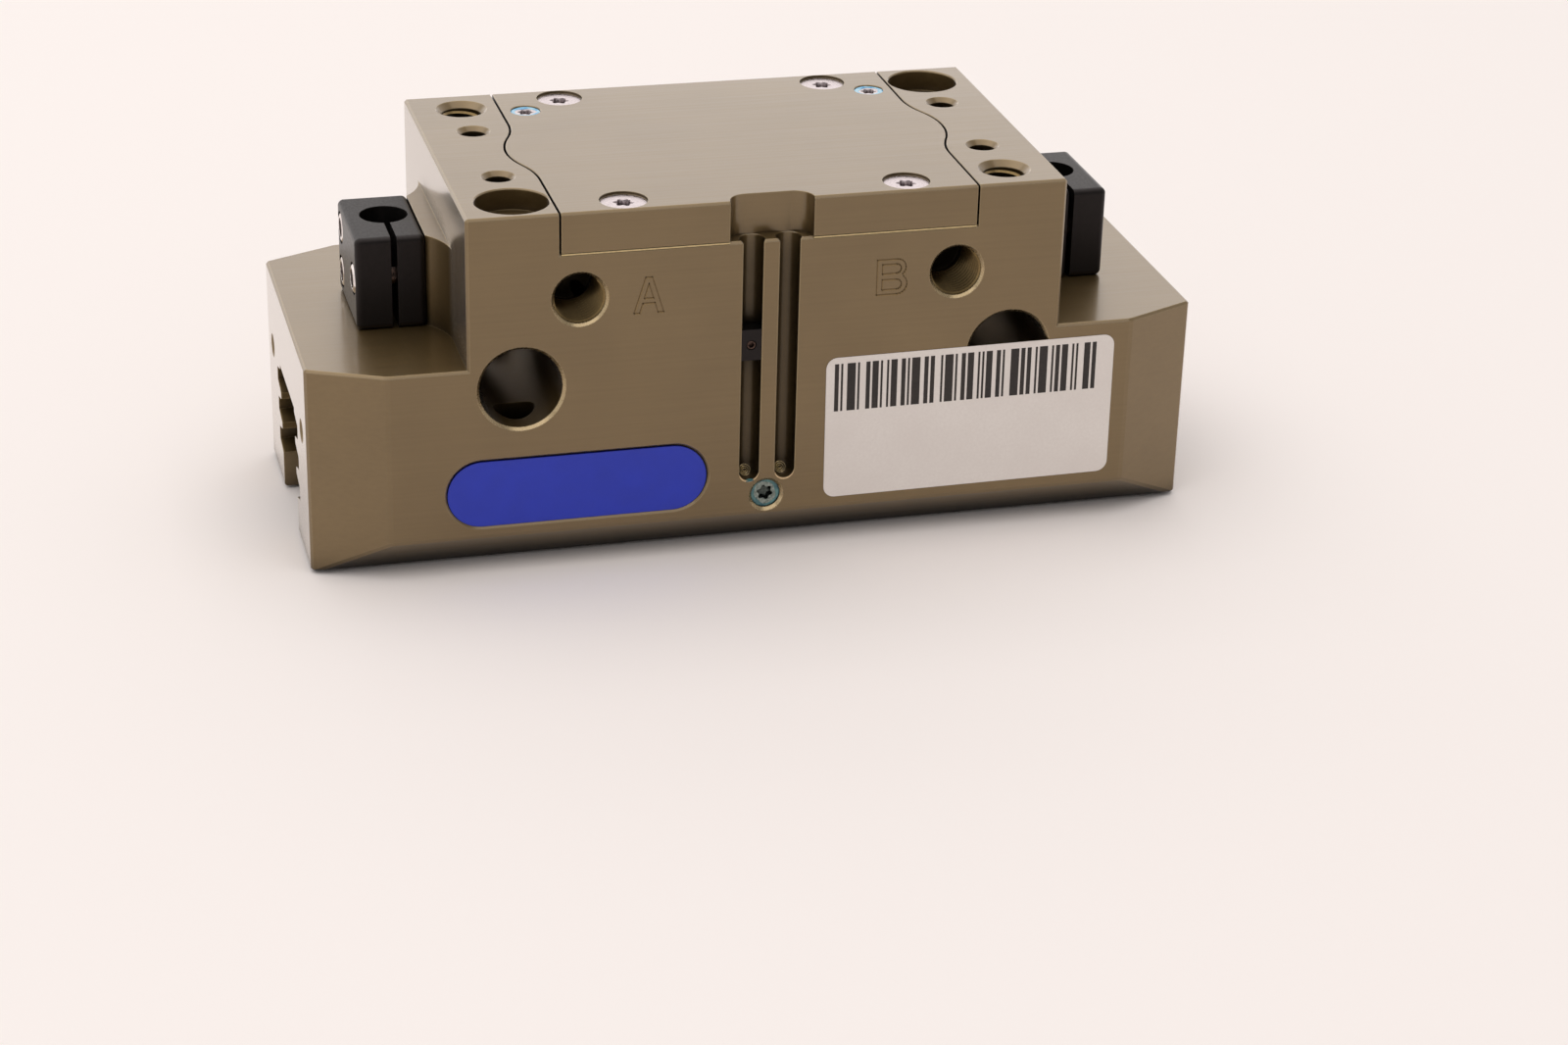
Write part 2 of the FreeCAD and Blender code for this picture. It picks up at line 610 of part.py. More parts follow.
def end_cuts():
    """Bracket threads, the switch passages down to the jaws and the holes in the end faces."""
    tools = []
    for end in (-1, 1):
        inward = X_AXIS * -end
        for height in bracket_screw_heights():
            start = point(end * (SEAT_X + OVERCUT), BRACKET_SCREW_OFFSET, height)
            tools.append(rod(SCREW_DIAMETER + 2 * FIT_GAP, start, inward, BRACKET_SCREW_REACH + 2 * OVERCUT))
        passage = point(end * SWITCH_X, SWITCH_OFFSET, LEDGE + OVERCUT)
        tools.append(rod(SWITCH_DIAMETER + 2 * SWITCH_PASSAGE_GAP, passage, -Z_AXIS,
                         LEDGE - ROOF + 2 * OVERCUT))
        for side in (-1, 1):
            mouth = point(end * BODY_HALF, side * END_HOLE_SPACING / 2, TOP - END_HOLE_DEPTH)
            tools.append(chamfered_hole(END_HOLE_DIAMETER, mouth, inward, END_HOLE_REACH, HOLE_CHAMFER))
    return tools


def bottom_cuts():
    """The seat of the jaw-side cover and its threads."""
    half = JAW_COVER_HALF + FIT_GAP
    side = JAW_COVER_WIDTH / 2 + FIT_GAP
    seat = HOUSING_BOTTOM + JAW_COVER_THICKNESS
    tools = [block(-half, half, -side, side, HOUSING_BOTTOM - OVERCUT, seat)]
    for x, y in jaw_cover_screw_places():
        tools.append(rod(SCREW_DIAMETER + 2 * FIT_GAP, point(x, y, seat - OVERCUT), Z_AXIS,
                         JAW_COVER_SCREW_LENGTH + OVERCUT))
    return tools


def waist_edges(solid):
    """The top edges along the cover's waisted sides."""
    outermost = COVER_HALF + COVER_GAP + COVER_BULGE
    edges = []
    for edge in solid.Edges:
        middle = edge.CenterOfMass
        beside = COVER_HALF - FIT_GAP < abs(middle.x) < outermost + FIT_GAP
        on_top = abs(middle.z - TOP) < FIT_GAP and edge.BoundBox.ZLength < FIT_GAP
        if beside and on_top and edge.BoundBox.YLength > edge.BoundBox.XLength:
            edges.append(edge)
    return edges


def foot_edges(solid):
    """The edges at the cover's foot, in front and behind."""
    edges = []
    for edge in solid.Edges:
        middle = edge.CenterOfMass
        at_seat = abs(middle.z - COVER_SEAT) < FIT_GAP and edge.BoundBox.ZLength < FIT_GAP
        if at_seat and abs(middle.y) > SIDE - FIT_GAP:
            edges.append(edge)
    return edges


def make_housing():
    pad = switch_pad()
    blank = lower_block().multiFuse([head_block(), pad, half_turn(pad)]).removeSplitter()
    blank = blank.cut(cover_blank(COVER_GAP, COVER_SEAT, TOP + OVERCUT))
    blank = blank.makeChamfer(COVER_EDGE, waist_edges(blank))
    blank = blank.makeChamfer(EDGE_BREAK, foot_edges(blank))
    return blank.cut(drive_cuts() + top_cuts() + front_cuts() + end_cuts() + bottom_cuts())


def make_cover():
    """The inset cover, flush with the housing's front and back, notched over the sensor slots."""
    cover = cover_blank(0, COVER_SEAT, TOP).common(head_block())
    cover = cover.makeChamfer(COVER_EDGE, waist_edges(cover) + foot_edges(cover))
    half = NOTCH_WIDTH / 2
    notch = block(-half, half, FRONT - OVERCUT - NOTCH_CORNER, FRONT + NOTCH_DEPTH,
                  COVER_SEAT - OVERCUT, TOP + OVERCUT)
    upright = [e for e in notch.Edges if e.BoundBox.ZLength > OVERCUT and e.BoundBox.YMin > FRONT]
    tools = [notch.makeFillet(NOTCH_CORNER, upright)]
    for x, y in cover_screw_places():
        tools.append(countersunk_hole(COUNTERSUNK_DIAMETER, COUNTERSUNK_HEAD_DIAMETER, COVER_SCREW_LENGTH,
                                      COUNTERSUNK_SINK, point(x, y, TOP), -Z_AXIS))
    for x, y in cover_plug_places():
        tools.append(chamfered_hole(SET_SCREW_DIAMETER + 2 * FIT_GAP, point(x, y, TOP), -Z_AXIS,
                                    COVER_THICKNESS + OVERCUT, COVER_EDGE))
    return cover.cut(tools)


def make_cover_screws():
    return Part.makeCompound([
        countersunk_screw(COUNTERSUNK_DIAMETER, COUNTERSUNK_HEAD_DIAMETER, COVER_SCREW_LENGTH,
                          point(x, y, TOP - COUNTERSUNK_SINK), -Z_AXIS)
        for x, y in cover_screw_places()
    ])


def make_cover_plugs():
    return Part.makeCompound([
        set_screw(SET_SCREW_DIAMETER, PLUG_LENGTH, point(x, y, TOP - SET_SCREW_SINK), -Z_AXIS)
        for x, y in cover_plug_places()
    ])


def make_purge_plug():
    return set_screw(SET_SCREW_DIAMETER, PURGE_PLUG_LENGTH,
                     point(0, FRONT + PURGE_PLUG_SINK, TOP - PURGE_DEPTH), Y_AXIS)


def stop_screw_mouth():
    middle = TOP - STOP_TOP_DEPTH - STOP_HEIGHT / 2
    return point(slot_places()[0], FRONT + STOP_CLEARANCE, middle)


def make_switch_stop():
    """A short round bar in the left sensor slot, flattened flush with the front face."""
    low = TOP - STOP_TOP_DEPTH - STOP_HEIGHT
    axis = point(slot_places()[0], FRONT + SENSOR_SLOT_SINK, low)
    bar = rod(SENSOR_SLOT_DIAMETER - 2 * STOP_CLEARANCE, axis, Z_AXIS, STOP_HEIGHT)
    width = SENSOR_SLOT_DIAMETER
    room = block(axis.x - width, axis.x + width, FRONT + STOP_CLEARANCE, FRONT + 2 * width,
                 low, low + STOP_HEIGHT)
    screw_room = rod(STOP_SCREW_DIAMETER + 2 * FIT_GAP, stop_screw_mouth() - Y_AXIS * OVERCUT, Y_AXIS,
                     STOP_SCREW_LENGTH + FIT_GAP + OVERCUT)
    return bar.common(room).cut(screw_room)


def make_switch_stop_screw():
    return set_screw(STOP_SCREW_DIAMETER, STOP_SCREW_LENGTH, stop_screw_mouth(), Y_AXIS)


def bracket_outside():
    return SEAT_X + BRACKET_THICKNESS


def make_right_bracket():
    """A rounded block that clamps a round switch: bore, slit to the front, clamp screw across the slit."""
    half = BRACKET_WIDTH / 2
    outside = bracket_outside()
    body = block(SEAT_X, outside, -half, half, LEDGE, LEDGE + BRACKET_HEIGHT)
    body = body.makeFillet(BRACKET_EDGE, body.Edges)
    head_room = BRACKET_SCREW_SINK + SCREW_HEAD_HEIGHT + FIT_GAP
    switch = point(SWITCH_X, SWITCH_OFFSET, LEDGE - OVERCUT)
    tools = [
        rod(SWITCH_DIAMETER, switch, Z_AXIS, BRACKET_HEIGHT + 2 * OVERCUT),
        block(SWITCH_X - BRACKET_SLIT / 2, SWITCH_X + BRACKET_SLIT / 2, -half - OVERCUT, SWITCH_OFFSET,
              LEDGE - OVERCUT, LEDGE + BRACKET_HEIGHT + OVERCUT),
    ]
    places = [(BRACKET_SCREW_OFFSET, height) for height in bracket_screw_heights()]
    places.append((-CLAMP_SCREW_OFFSET, BRACKET_MIDDLE))
    for y, z in places:
        mouth = point(outside + OVERCUT, y, z)
        tools.append(rod(SCREW_HEAD_DIAMETER + 2 * FIT_GAP, mouth, -X_AXIS, head_room + OVERCUT))
        tools.append(rod(SCREW_DIAMETER + 2 * FIT_GAP, mouth, -X_AXIS, BRACKET_THICKNESS + 2 * OVERCUT))
    return body.cut(tools)


def make_right_bracket_screws():
    length = BRACKET_THICKNESS - BRACKET_SCREW_SINK - SCREW_HEAD_HEIGHT + BRACKET_SCREW_REACH
    return Part.makeCompound([
        cap_screw(SCREW_DIAMETER, SCREW_HEAD_DIAMETER, SCREW_HEAD_HEIGHT, length,
                  point(bracket_outside() - BRACKET_SCREW_SINK, BRACKET_SCREW_OFFSET, height), -X_AXIS)
        for height in bracket_screw_heights()
    ])


def make_right_clamp_screw():
    length = BRACKET_THICKNESS - BRACKET_SCREW_SINK - SCREW_HEAD_HEIGHT - FIT_GAP
    top = point(bracket_outside() - BRACKET_SCREW_SINK, -CLAMP_SCREW_OFFSET, BRACKET_MIDDLE)
    return cap_screw(SCREW_DIAMETER, SCREW_HEAD_DIAMETER, SCREW_HEAD_HEIGHT, length, top, -X_AXIS)


def make_jaw_cover():
    side = JAW_COVER_WIDTH / 2
    plate = block(-JAW_COVER_HALF, JAW_COVER_HALF, -side, side, HOUSING_BOTTOM,
                  HOUSING_BOTTOM + JAW_COVER_THICKNESS)
    tools = [
        countersunk_hole(SCREW_DIAMETER, SCREW_HEAD_DIAMETER, JAW_COVER_SCREW_LENGTH, 0,
                         point(x, y, HOUSING_BOTTOM), Z_AXIS)
        for x, y in jaw_cover_screw_places()
    ]
    return plate.cut(tools)


def make_jaw_cover_screws():
    return Part.makeCompound([
        countersunk_screw(SCREW_DIAMETER, SCREW_HEAD_DIAMETER, JAW_COVER_SCREW_LENGTH,
                          point(x, y, HOUSING_BOTTOM), Z_AXIS)
        for x, y in jaw_cover_screw_places()
    ])


def piston_half():
    return CHAMBER_HALF - PISTON_SIDE_GAP


def piston_side():
    return CHAMBER_WIDTH / 2 - PISTON_SIDE_GAP


def piston_seal_shape(gap):
    """The seal round the piston, or with a gap its groove."""
    middle = (PISTON_BOTTOM + PISTON_TOP) / 2
    rise = PISTON_SEAL_HEIGHT / 2 + gap
    lip = PISTON_SIDE_GAP if gap else PISTON_SEAL_GAP
    reach = PISTON_SIDE_GAP - lip
    width = PISTON_SEAL_DEPTH + reach + gap
    if gap:
        reach += OVERCUT
        width += OVERCUT
    return oval_ring(piston_half() + reach, piston_side() + reach, width, middle - rise, middle + rise)


def magnet_places():
    y = -(piston_side() - PISTON_SEAL_DEPTH - MAGNET_WALL - MAGNET_DIAMETER / 2)
    return [(x, y) for x in slot_places()]


def bolt_head_top():
    return PISTON_TOP - BOLT_HEAD_GAP


def make_piston():
    """The oval piston with its seal groove, magnet seats and sunk bolt hole."""
    body = stadium(piston_half(), piston_side(), PISTON_BOTTOM, PISTON_TOP)
    rims = [e for e in body.Edges if e.BoundBox.ZLength < FIT_GAP]
    body = body.makeChamfer(PISTON_EDGE, rims)
    tools = [
        piston_seal_shape(FIT_GAP),
        rod(BOLT_DIAMETER + 2 * FIT_GAP, point(0, 0, PISTON_BOTTOM - OVERCUT), Z_AXIS,
            PISTON_THICKNESS + 2 * OVERCUT),
        rod(BOLT_HEAD_DIAMETER + 2 * FIT_GAP, point(0, 0, bolt_head_top() - BOLT_HEAD_HEIGHT), Z_AXIS,
            BOLT_HEAD_HEIGHT + BOLT_HEAD_GAP + OVERCUT),
    ]
    for x, y in magnet_places():
        floor = point(x, y, PISTON_TOP - MAGNET_LENGTH - FIT_GAP)
        tools.append(rod(MAGNET_DIAMETER + 2 * FIT_GAP, floor, Z_AXIS, MAGNET_LENGTH + OVERCUT))
    return body.cut(tools)


def make_magnets():
    return Part.makeCompound([
        rod(MAGNET_DIAMETER, point(x, y, PISTON_TOP - MAGNET_LENGTH), Z_AXIS, MAGNET_LENGTH)
        for x, y in magnet_places()
    ])


def make_piston_bolt():
    length = bolt_head_top() - BOLT_HEAD_HEIGHT - PISTON_BOTTOM + BOLT_REACH
    return cap_screw(BOLT_DIAMETER, BOLT_HEAD_DIAMETER, BOLT_HEAD_HEIGHT, length,
                     point(0, 0, bolt_head_top()), -Z_AXIS)


def make_wedge_hook():
    """The wedge with inclined T ribs on both flanks and the stem that carries it from the piston."""
    half = HOOK_WIDTH / 2
    corners = [
        point(-HOOK_BOTTOM_HALF, -half, HOOK_BOTTOM),
        point(HOOK_BOTTOM_HALF, -half, HOOK_BOTTOM),
        point(HOOK_TOP_HALF, -half, HOOK_TOP),
        point(-HOOK_TOP_HALF, -half, HOOK_TOP),
    ]
    core = prism(corners, point(0, HOOK_WIDTH, 0))
    neck = flank_bar(HOOK_BOTTOM, HOOK_TOP, -OVERCUT, RIB_REACH, RIB_NECK_WIDTH / 2)
    head = flank_bar(HOOK_BOTTOM, HOOK_TOP, RIB_NECK_THICKNESS, RIB_REACH, RIB_HEAD_WIDTH / 2)
    rib = neck.fuse(head)
    stem = rod(STEM_DIAMETER, point(0, 0, HOOK_TOP - OVERCUT), Z_AXIS, PISTON_BOTTOM - HOOK_TOP + OVERCUT)
    hook = core.multiFuse([rib, half_turn(rib), stem]).removeSplitter()
    return hook.cut(rod(BOLT_DIAMETER + 2 * FIT_GAP, point(0, 0, PISTON_BOTTOM + OVERCUT), -Z_AXIS,
                        BOLT_REACH + BOLT_TIP_ROOM + OVERCUT))


def cam_middle():
    return SWITCH_X - JAW_TRAVEL


def cam_shape(gap):
    """The switch cam in the jaw's back, or with a gap its pocket."""
    back = ROOF - GUIDE_CLEARANCE - CAM_SINK
    half = CAM_LENGTH / 2 + gap
    side = CAM_WIDTH / 2 + gap
    lift = OVERCUT if gap else 0
    return block(cam_middle() - half, cam_middle() + half, -side, side, back - CAM_THICKNESS, back + lift)


def make_right_jaw():
    """A base jaw: guide teeth along both sides, inclined T slot at its inner end, finger threads below."""
    start = HOOK_TOP_HALF
    jaw = prism(guide_outline(start, GUIDE_CLEARANCE, 0), point(JAW_END - start, 0, 0))
    jaw = jaw.makeChamfer(JAW_EDGE, [e for e in jaw.Edges if e.BoundBox.XMin > JAW_END - FIT_GAP])
    side = GUIDE_NECK_WIDTH
    inner_top = flank(HOOK_TOP, WEDGE_CLEARANCE)
    hollow = [
        point(0, -side, -OVERCUT),
        point(flank(-OVERCUT, WEDGE_CLEARANCE), -side, -OVERCUT),
        point(inner_top, -side, HOOK_TOP),
        point(inner_top, -side, ROOF + OVERCUT),
        point(0, -side, ROOF + OVERCUT),
    ]
    slot_foot = HOOK_BOTTOM - SLOT_FOOT_GAP
    slot_top = ROOF + OVERCUT
    tools = [
        prism(hollow, point(0, 2 * side, 0)),
        flank_bar(slot_foot, slot_top, -OVERCUT, RIB_REACH + WEDGE_CLEARANCE,
                  RIB_NECK_WIDTH / 2 + WEDGE_CLEARANCE),
        flank_bar(slot_foot, slot_top, RIB_NECK_THICKNESS - WEDGE_CLEARANCE, RIB_REACH + WEDGE_CLEARANCE,
                  RIB_HEAD_WIDTH / 2 + WEDGE_CLEARANCE),
        cam_shape(FIT_GAP),
        rod(SCREW_DIAMETER + 2 * FIT_GAP, cam_top(), -Z_AXIS, CAM_SCREW_LENGTH + OVERCUT),
    ]
    for k in range(2):
        mouth = point(JAW_END - FINGER_END_INSET - k * FINGER_SPACING, 0, 0)
        tools.append(rod(FINGER_THREAD_DIAMETER, mouth, Z_AXIS, FINGER_HOLE_DEPTH))
        tools.append(chamfered_hole(FINGER_SLEEVE_DIAMETER, mouth, Z_AXIS, FINGER_SLEEVE_DEPTH, HOLE_CHAMFER))
    return jaw.cut(tools)


def cam_top():
    return point(cam_middle(), 0, ROOF - GUIDE_CLEARANCE - CAM_SINK)


def make_right_cam():
    return cam_shape(0).cut(countersunk_hole(SCREW_DIAMETER, SCREW_HEAD_DIAMETER, CAM_SCREW_LENGTH, 0,
                                             cam_top(), -Z_AXIS))


def make_right_cam_screw():
    return countersunk_screw(SCREW_DIAMETER, SCREW_HEAD_DIAMETER, CAM_SCREW_LENGTH, cam_top(), -Z_AXIS)


pieces = {
    "housing": make_housing(),
    "cylinder_cover": make_cover(),
    "cover_seal": cover_seal_shape(0),
    "cover_screws": make_cover_screws(),
    "cover_air_plugs": make_cover_plugs(),
    "purge_plug": make_purge_plug(),
    "rod_seal": rod_seal_shape(0),
    "switch_stop": make_switch_stop(),
    "switch_stop_screw": make_switch_stop_screw(),
    "jaw_side_cover": make_jaw_cover(),
    "jaw_side_cover_screws": make_jaw_cover_screws(),
    "piston": make_piston(),
    "piston_seal": piston_seal_shape(0),
    "piston_magnets": make_magnets(),
    "piston_bolt": make_piston_bolt(),
    "wedge_hook": make_wedge_hook(),
}
bracket_pieces = {
    "switch_bracket": make_right_bracket(),
    "bracket_screws": make_right_bracket_screws(),
    "clamp_screw": make_right_clamp_screw(),
}
for name, shape in bracket_pieces.items():
    pieces["right_" + name] = shape
    pieces["left_" + name] = turned_over(shape)
jaw_pieces = {
    "base_jaw": make_right_jaw(),
    "switch_cam": make_right_cam(),
    "cam_screw": make_right_cam_screw(),
}
for name, shape in jaw_pieces.items():
    pieces["right_" + name] = shape
    pieces["left_" + name] = half_turn(shape)

os.makedirs("parts", exist_ok=True)
for name, shape in pieces.items():
    shape.exportStep("parts/" + name + ".step")
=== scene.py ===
import json
import math

import bmesh
import bpy
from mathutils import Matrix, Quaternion, Vector


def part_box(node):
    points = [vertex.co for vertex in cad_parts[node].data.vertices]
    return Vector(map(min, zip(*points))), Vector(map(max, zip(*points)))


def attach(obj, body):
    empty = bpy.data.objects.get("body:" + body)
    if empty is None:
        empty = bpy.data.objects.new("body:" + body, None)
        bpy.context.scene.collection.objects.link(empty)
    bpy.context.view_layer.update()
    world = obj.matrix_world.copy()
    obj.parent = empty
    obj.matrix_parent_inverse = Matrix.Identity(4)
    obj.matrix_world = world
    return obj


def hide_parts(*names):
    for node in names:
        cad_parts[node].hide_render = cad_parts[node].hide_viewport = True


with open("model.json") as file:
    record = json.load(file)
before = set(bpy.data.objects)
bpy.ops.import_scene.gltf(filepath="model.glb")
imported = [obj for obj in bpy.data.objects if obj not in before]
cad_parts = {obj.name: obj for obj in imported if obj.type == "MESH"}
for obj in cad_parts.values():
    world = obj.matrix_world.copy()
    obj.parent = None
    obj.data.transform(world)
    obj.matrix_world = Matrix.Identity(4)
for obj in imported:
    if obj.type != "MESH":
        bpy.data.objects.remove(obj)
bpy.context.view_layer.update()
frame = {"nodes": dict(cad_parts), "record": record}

# Housing: one block of aluminium, milled all over and hard anodised after its holes were cut.
# The hard coat is a thick satin oxide of an olive brown. Cutter marks run along the block under it.
# Its colour also carries painted light: a pale edge line, partly wear and partly a painted highlight,
# painted shade in holes, slots and corners, and a painted sheen at flat angles.
MM = 0.001
HARD_COAT = "#7A6541"
HARD_COAT_DEEP = "#705C3A"
HARD_COAT_EDGE = "#C4AE82"
HARD_COAT_GLARE = "#EFE6DE"
GLARE_MOST = 0.45            # share of the pale sheen at the flattest angles
CUTTER_MARK = 0.55 * MM      # real marks are finer; drawn this coarse so that they show
CUTTER_MARK_STRETCH = 0.02
OXIDE_CLOUD = 16 * MM
OXIDE_GRAIN = 0.35 * MM
BROKEN_EDGE = 0.3 * MM
TOOL_RELIEF = 0.02 * MM      # depth of tool marks and fine grain
PAINTED_SHADE_REACH = 7.5 * MM      # painted shade darkens the coat in a hole or slot this deep


def linear(hex_colour):
    """An sRGB hex colour as the linear colour that a socket takes."""
    shares = [int(hex_colour[k:k + 2], 16) / 255 for k in (1, 3, 5)]
    return [s / 12.92 if s <= 0.04045 else ((s + 0.055) / 1.055) ** 2.4 for s in shares] + [1.0]


def add(tree, kind, inputs, **settings):
    """Adds a node with its settings; an input that is a socket is linked, any other is filled in."""
    node = tree.nodes.new(kind)
    for key, value in settings.items():
        setattr(node, key, value)
    for key, value in inputs.items():
        if isinstance(value, bpy.types.NodeSocket):
            tree.links.new(value, node.inputs[key])
        else:
            node.inputs[key].default_value = value
    return node


def new_finish(name):
    """An empty material, its node tree and the coordinates that stay with the piece."""
    finish = bpy.data.materials.new(name)
    finish.use_nodes = True
    tree = finish.node_tree
    tree.nodes.clear()
    return finish, tree, add(tree, "ShaderNodeTexCoord", {}).outputs["Object"]


def hard_anodised_aluminium():
    finish, tree, place = new_finish("hard_anodised_aluminium")
    along = add(tree, "ShaderNodeMapping", {"Vector": place, "Scale": (CUTTER_MARK_STRETCH, 1, 1)})
    marks = add(tree, "ShaderNodeTexNoise",
                {"Vector": along.outputs["Vector"], "Scale": 1 / CUTTER_MARK, "Detail": 2.0})
    cloud = add(tree, "ShaderNodeTexNoise", {"Vector": place, "Scale": 1 / OXIDE_CLOUD, "Detail": 3.0})
    grain = add(tree, "ShaderNodeTexNoise", {"Vector": place, "Scale": 1 / OXIDE_GRAIN, "Detail": 2.0})
    mixed = add(tree, "ShaderNodeMath", {0: marks.outputs["Fac"], 1: cloud.outputs["Fac"]}, operation="ADD")
    share = add(tree, "ShaderNodeMapRange",
                {"Value": mixed.outputs["Value"], "From Min": 0.6, "From Max": 1.4})
    tone = add(tree, "ShaderNodeMix",
               {0: share.outputs["Result"], 6: linear(HARD_COAT_DEEP), 7: linear(HARD_COAT)},
               data_type="RGBA")
    # Pale edge line: partly wear, partly a painted highlight on the edges
    rounded = add(tree, "ShaderNodeBevel", {"Radius": BROKEN_EDGE}, samples=4)
    true_normal = add(tree, "ShaderNodeNewGeometry", {}).outputs["Normal"]
    lean = add(tree, "ShaderNodeVectorMath", {0: rounded.outputs["Normal"], 1: true_normal},
               operation="DOT_PRODUCT")
    edge = add(tree, "ShaderNodeMapRange",
               {"Value": lean.outputs["Value"], "From Min": 0.995, "From Max": 0.8, "To Max": 0.5})
    colour = add(tree, "ShaderNodeMix",
                 {0: edge.outputs["Result"], 6: tone.outputs[2], 7: linear(HARD_COAT_EDGE)}, data_type="RGBA")
    # Painted shade: darker in holes, slots and corners, less so on faces that look up to the light
    open_share = add(tree, "ShaderNodeAmbientOcclusion", {"Distance": PAINTED_SHADE_REACH}, samples=8)
    upward = add(tree, "ShaderNodeSeparateXYZ", {"Vector": true_normal}).outputs["Z"]
    lit = add(tree, "ShaderNodeMapRange",
              {"Value": upward, "From Min": 0.5, "From Max": 0.95, "To Max": 0.28})
    light = add(tree, "ShaderNodeMath",
                {0: open_share.outputs["AO"], 1: lit.outputs["Result"]}, operation="ADD")
    painted_shade = add(tree, "ShaderNodeMapRange",
                 {"Value": light.outputs["Value"], "From Min": 0.25, "From Max": 0.8, "To Min": 0.04})
    # Painted sheen: the colour is mixed paler at flat angles, out in the open only, and the roughness is
    # lower there
    facing = add(tree, "ShaderNodeLayerWeight", {"Blend": 0.5}).outputs["Facing"]
    glare = add(tree, "ShaderNodeMapRange",
                {"Value": facing, "From Min": 0.68, "From Max": 0.9, "To Max": GLARE_MOST})
    open_glare = add(tree, "ShaderNodeMath", {0: glare.outputs["Result"], 1: painted_shade.outputs["Result"]},
                     operation="MULTIPLY")
    painted_sheen_colour = add(tree, "ShaderNodeMix",
                 {0: open_glare.outputs["Value"], 6: colour.outputs[2], 7: linear(HARD_COAT_GLARE)},
                 data_type="RGBA")
    shaded = add(tree, "ShaderNodeVectorMath", {0: painted_sheen_colour.outputs[2], 3: painted_shade.outputs["Result"]},
                 operation="SCALE")
    # Painted shade: the coat's gloss is cut down in holes and slots
    coat_dimmed_in_shade = add(tree, "ShaderNodeMath", {0: painted_shade.outputs["Result"], 1: 0.7}, operation="MULTIPLY")
    gloss = add(tree, "ShaderNodeMapRange", {"Value": marks.outputs["Fac"], "From Min": 0.3, "From Max": 0.7,
                                             "To Min": 0.35, "To Max": 0.43})
    smooth = add(tree, "ShaderNodeMapRange", {"Value": open_glare.outputs["Value"], "From Max": GLARE_MOST,
                                              "To Min": 1.0, "To Max": 0.5})
    sheen = add(tree, "ShaderNodeMath", {0: gloss.outputs["Result"], 1: smooth.outputs["Result"]},
                operation="MULTIPLY")
    height = add(tree, "ShaderNodeMath", {0: marks.outputs["Fac"], 1: grain.outputs["Fac"]}, operation="ADD")
    relief = add(tree, "ShaderNodeBump",
                 {"Height": height.outputs["Value"], "Normal": rounded.outputs["Normal"],
                  "Strength": 0.1, "Distance": TOOL_RELIEF})
    surface = add(tree, "ShaderNodeBsdfPrincipled", {
        "Base Color": shaded.outputs["Vector"], "Roughness": sheen.outputs["Value"],
        "Normal": relief.outputs["Normal"], "Metallic": 0.75, "Coat Roughness": 0.16,
        "Coat Weight": coat_dimmed_in_shade.outputs["Value"], "Coat IOR": 1.6})
    add(tree, "ShaderNodeOutputMaterial", {"Surface": surface.outputs["BSDF"]})
    return finish


nodes = frame["nodes"]


def dress(finish, *names):
    """Gives CAD pieces their finish."""
    for name in names:
        nodes[name].material_slots[0].material = finish


hard_coat = hard_anodised_aluminium()
dress(hard_coat, "housing")
housing_low, housing_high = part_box("housing")

# Threads in the housing: tapped into the drilled holes and anodised with the block,
# so their crests are sharp and a little paler. Each is one helical ridge on the wall of its hole.
THREAD_COAT = "#8E7850"
THREAD_COAT_DEEP = "#6A5838"
THREAD_SHADE_REACH = 5.0 * MM     # painted shade: how far into a hole the thread's colour darkens
THREAD_STEPS = 40            # points in one turn
THREAD_ROOT_SHARE = 0.5      # foot of the ridge against the pitch
THREAD_DEPTH_SHARE = 0.33    # height of the ridge against the pitch
THREAD_SUNK = 0.02 * MM      # foot of the ridge behind the wall
PORT_PITCH = 0.907 * MM      # 28 turns to the inch
PORT_TURNS = 11
CORNER_PITCH = 1.25 * MM
CORNER_TURNS = 12
SMALL_PITCH = 0.8 * MM
SMALL_TURNS = 10
END_PITCH = 0.7 * MM
END_TURNS = 7
MOUTH_CHAMFER = 0.5 * MM     # the thread starts under the chamfer
CORNER_CHAMFER = 1.0 * MM
CREASE = math.radians(35)    # a sharper bend than this keeps its edge


def tapped_thread():
    finish, tree, place = new_finish("tapped_thread")
    grain = add(tree, "ShaderNodeTexNoise", {"Vector": place, "Scale": 1 / OXIDE_GRAIN, "Detail": 2.0})
    tone = add(tree, "ShaderNodeMix",
               {0: grain.outputs["Fac"], 6: linear(THREAD_COAT_DEEP), 7: linear(THREAD_COAT)},
               data_type="RGBA")
    # Painted shade: darker deeper in the hole
    open_share = add(tree, "ShaderNodeAmbientOcclusion", {"Distance": THREAD_SHADE_REACH}, samples=8)
    painted_shade = add(tree, "ShaderNodeMapRange",
                 {"Value": open_share.outputs["AO"], "From Min": 0.35, "From Max": 0.9, "To Min": 0.03})
    shaded = add(tree, "ShaderNodeVectorMath", {0: tone.outputs[2], 3: painted_shade.outputs["Result"]},
                 operation="SCALE")
    surface = add(tree, "ShaderNodeBsdfPrincipled", {
        "Base Color": shaded.outputs["Vector"], "Metallic": 0.9, "Roughness": 0.22})
    add(tree, "ShaderNodeOutputMaterial", {"Surface": surface.outputs["BSDF"]})
    return finish


thread_coat = tapped_thread()


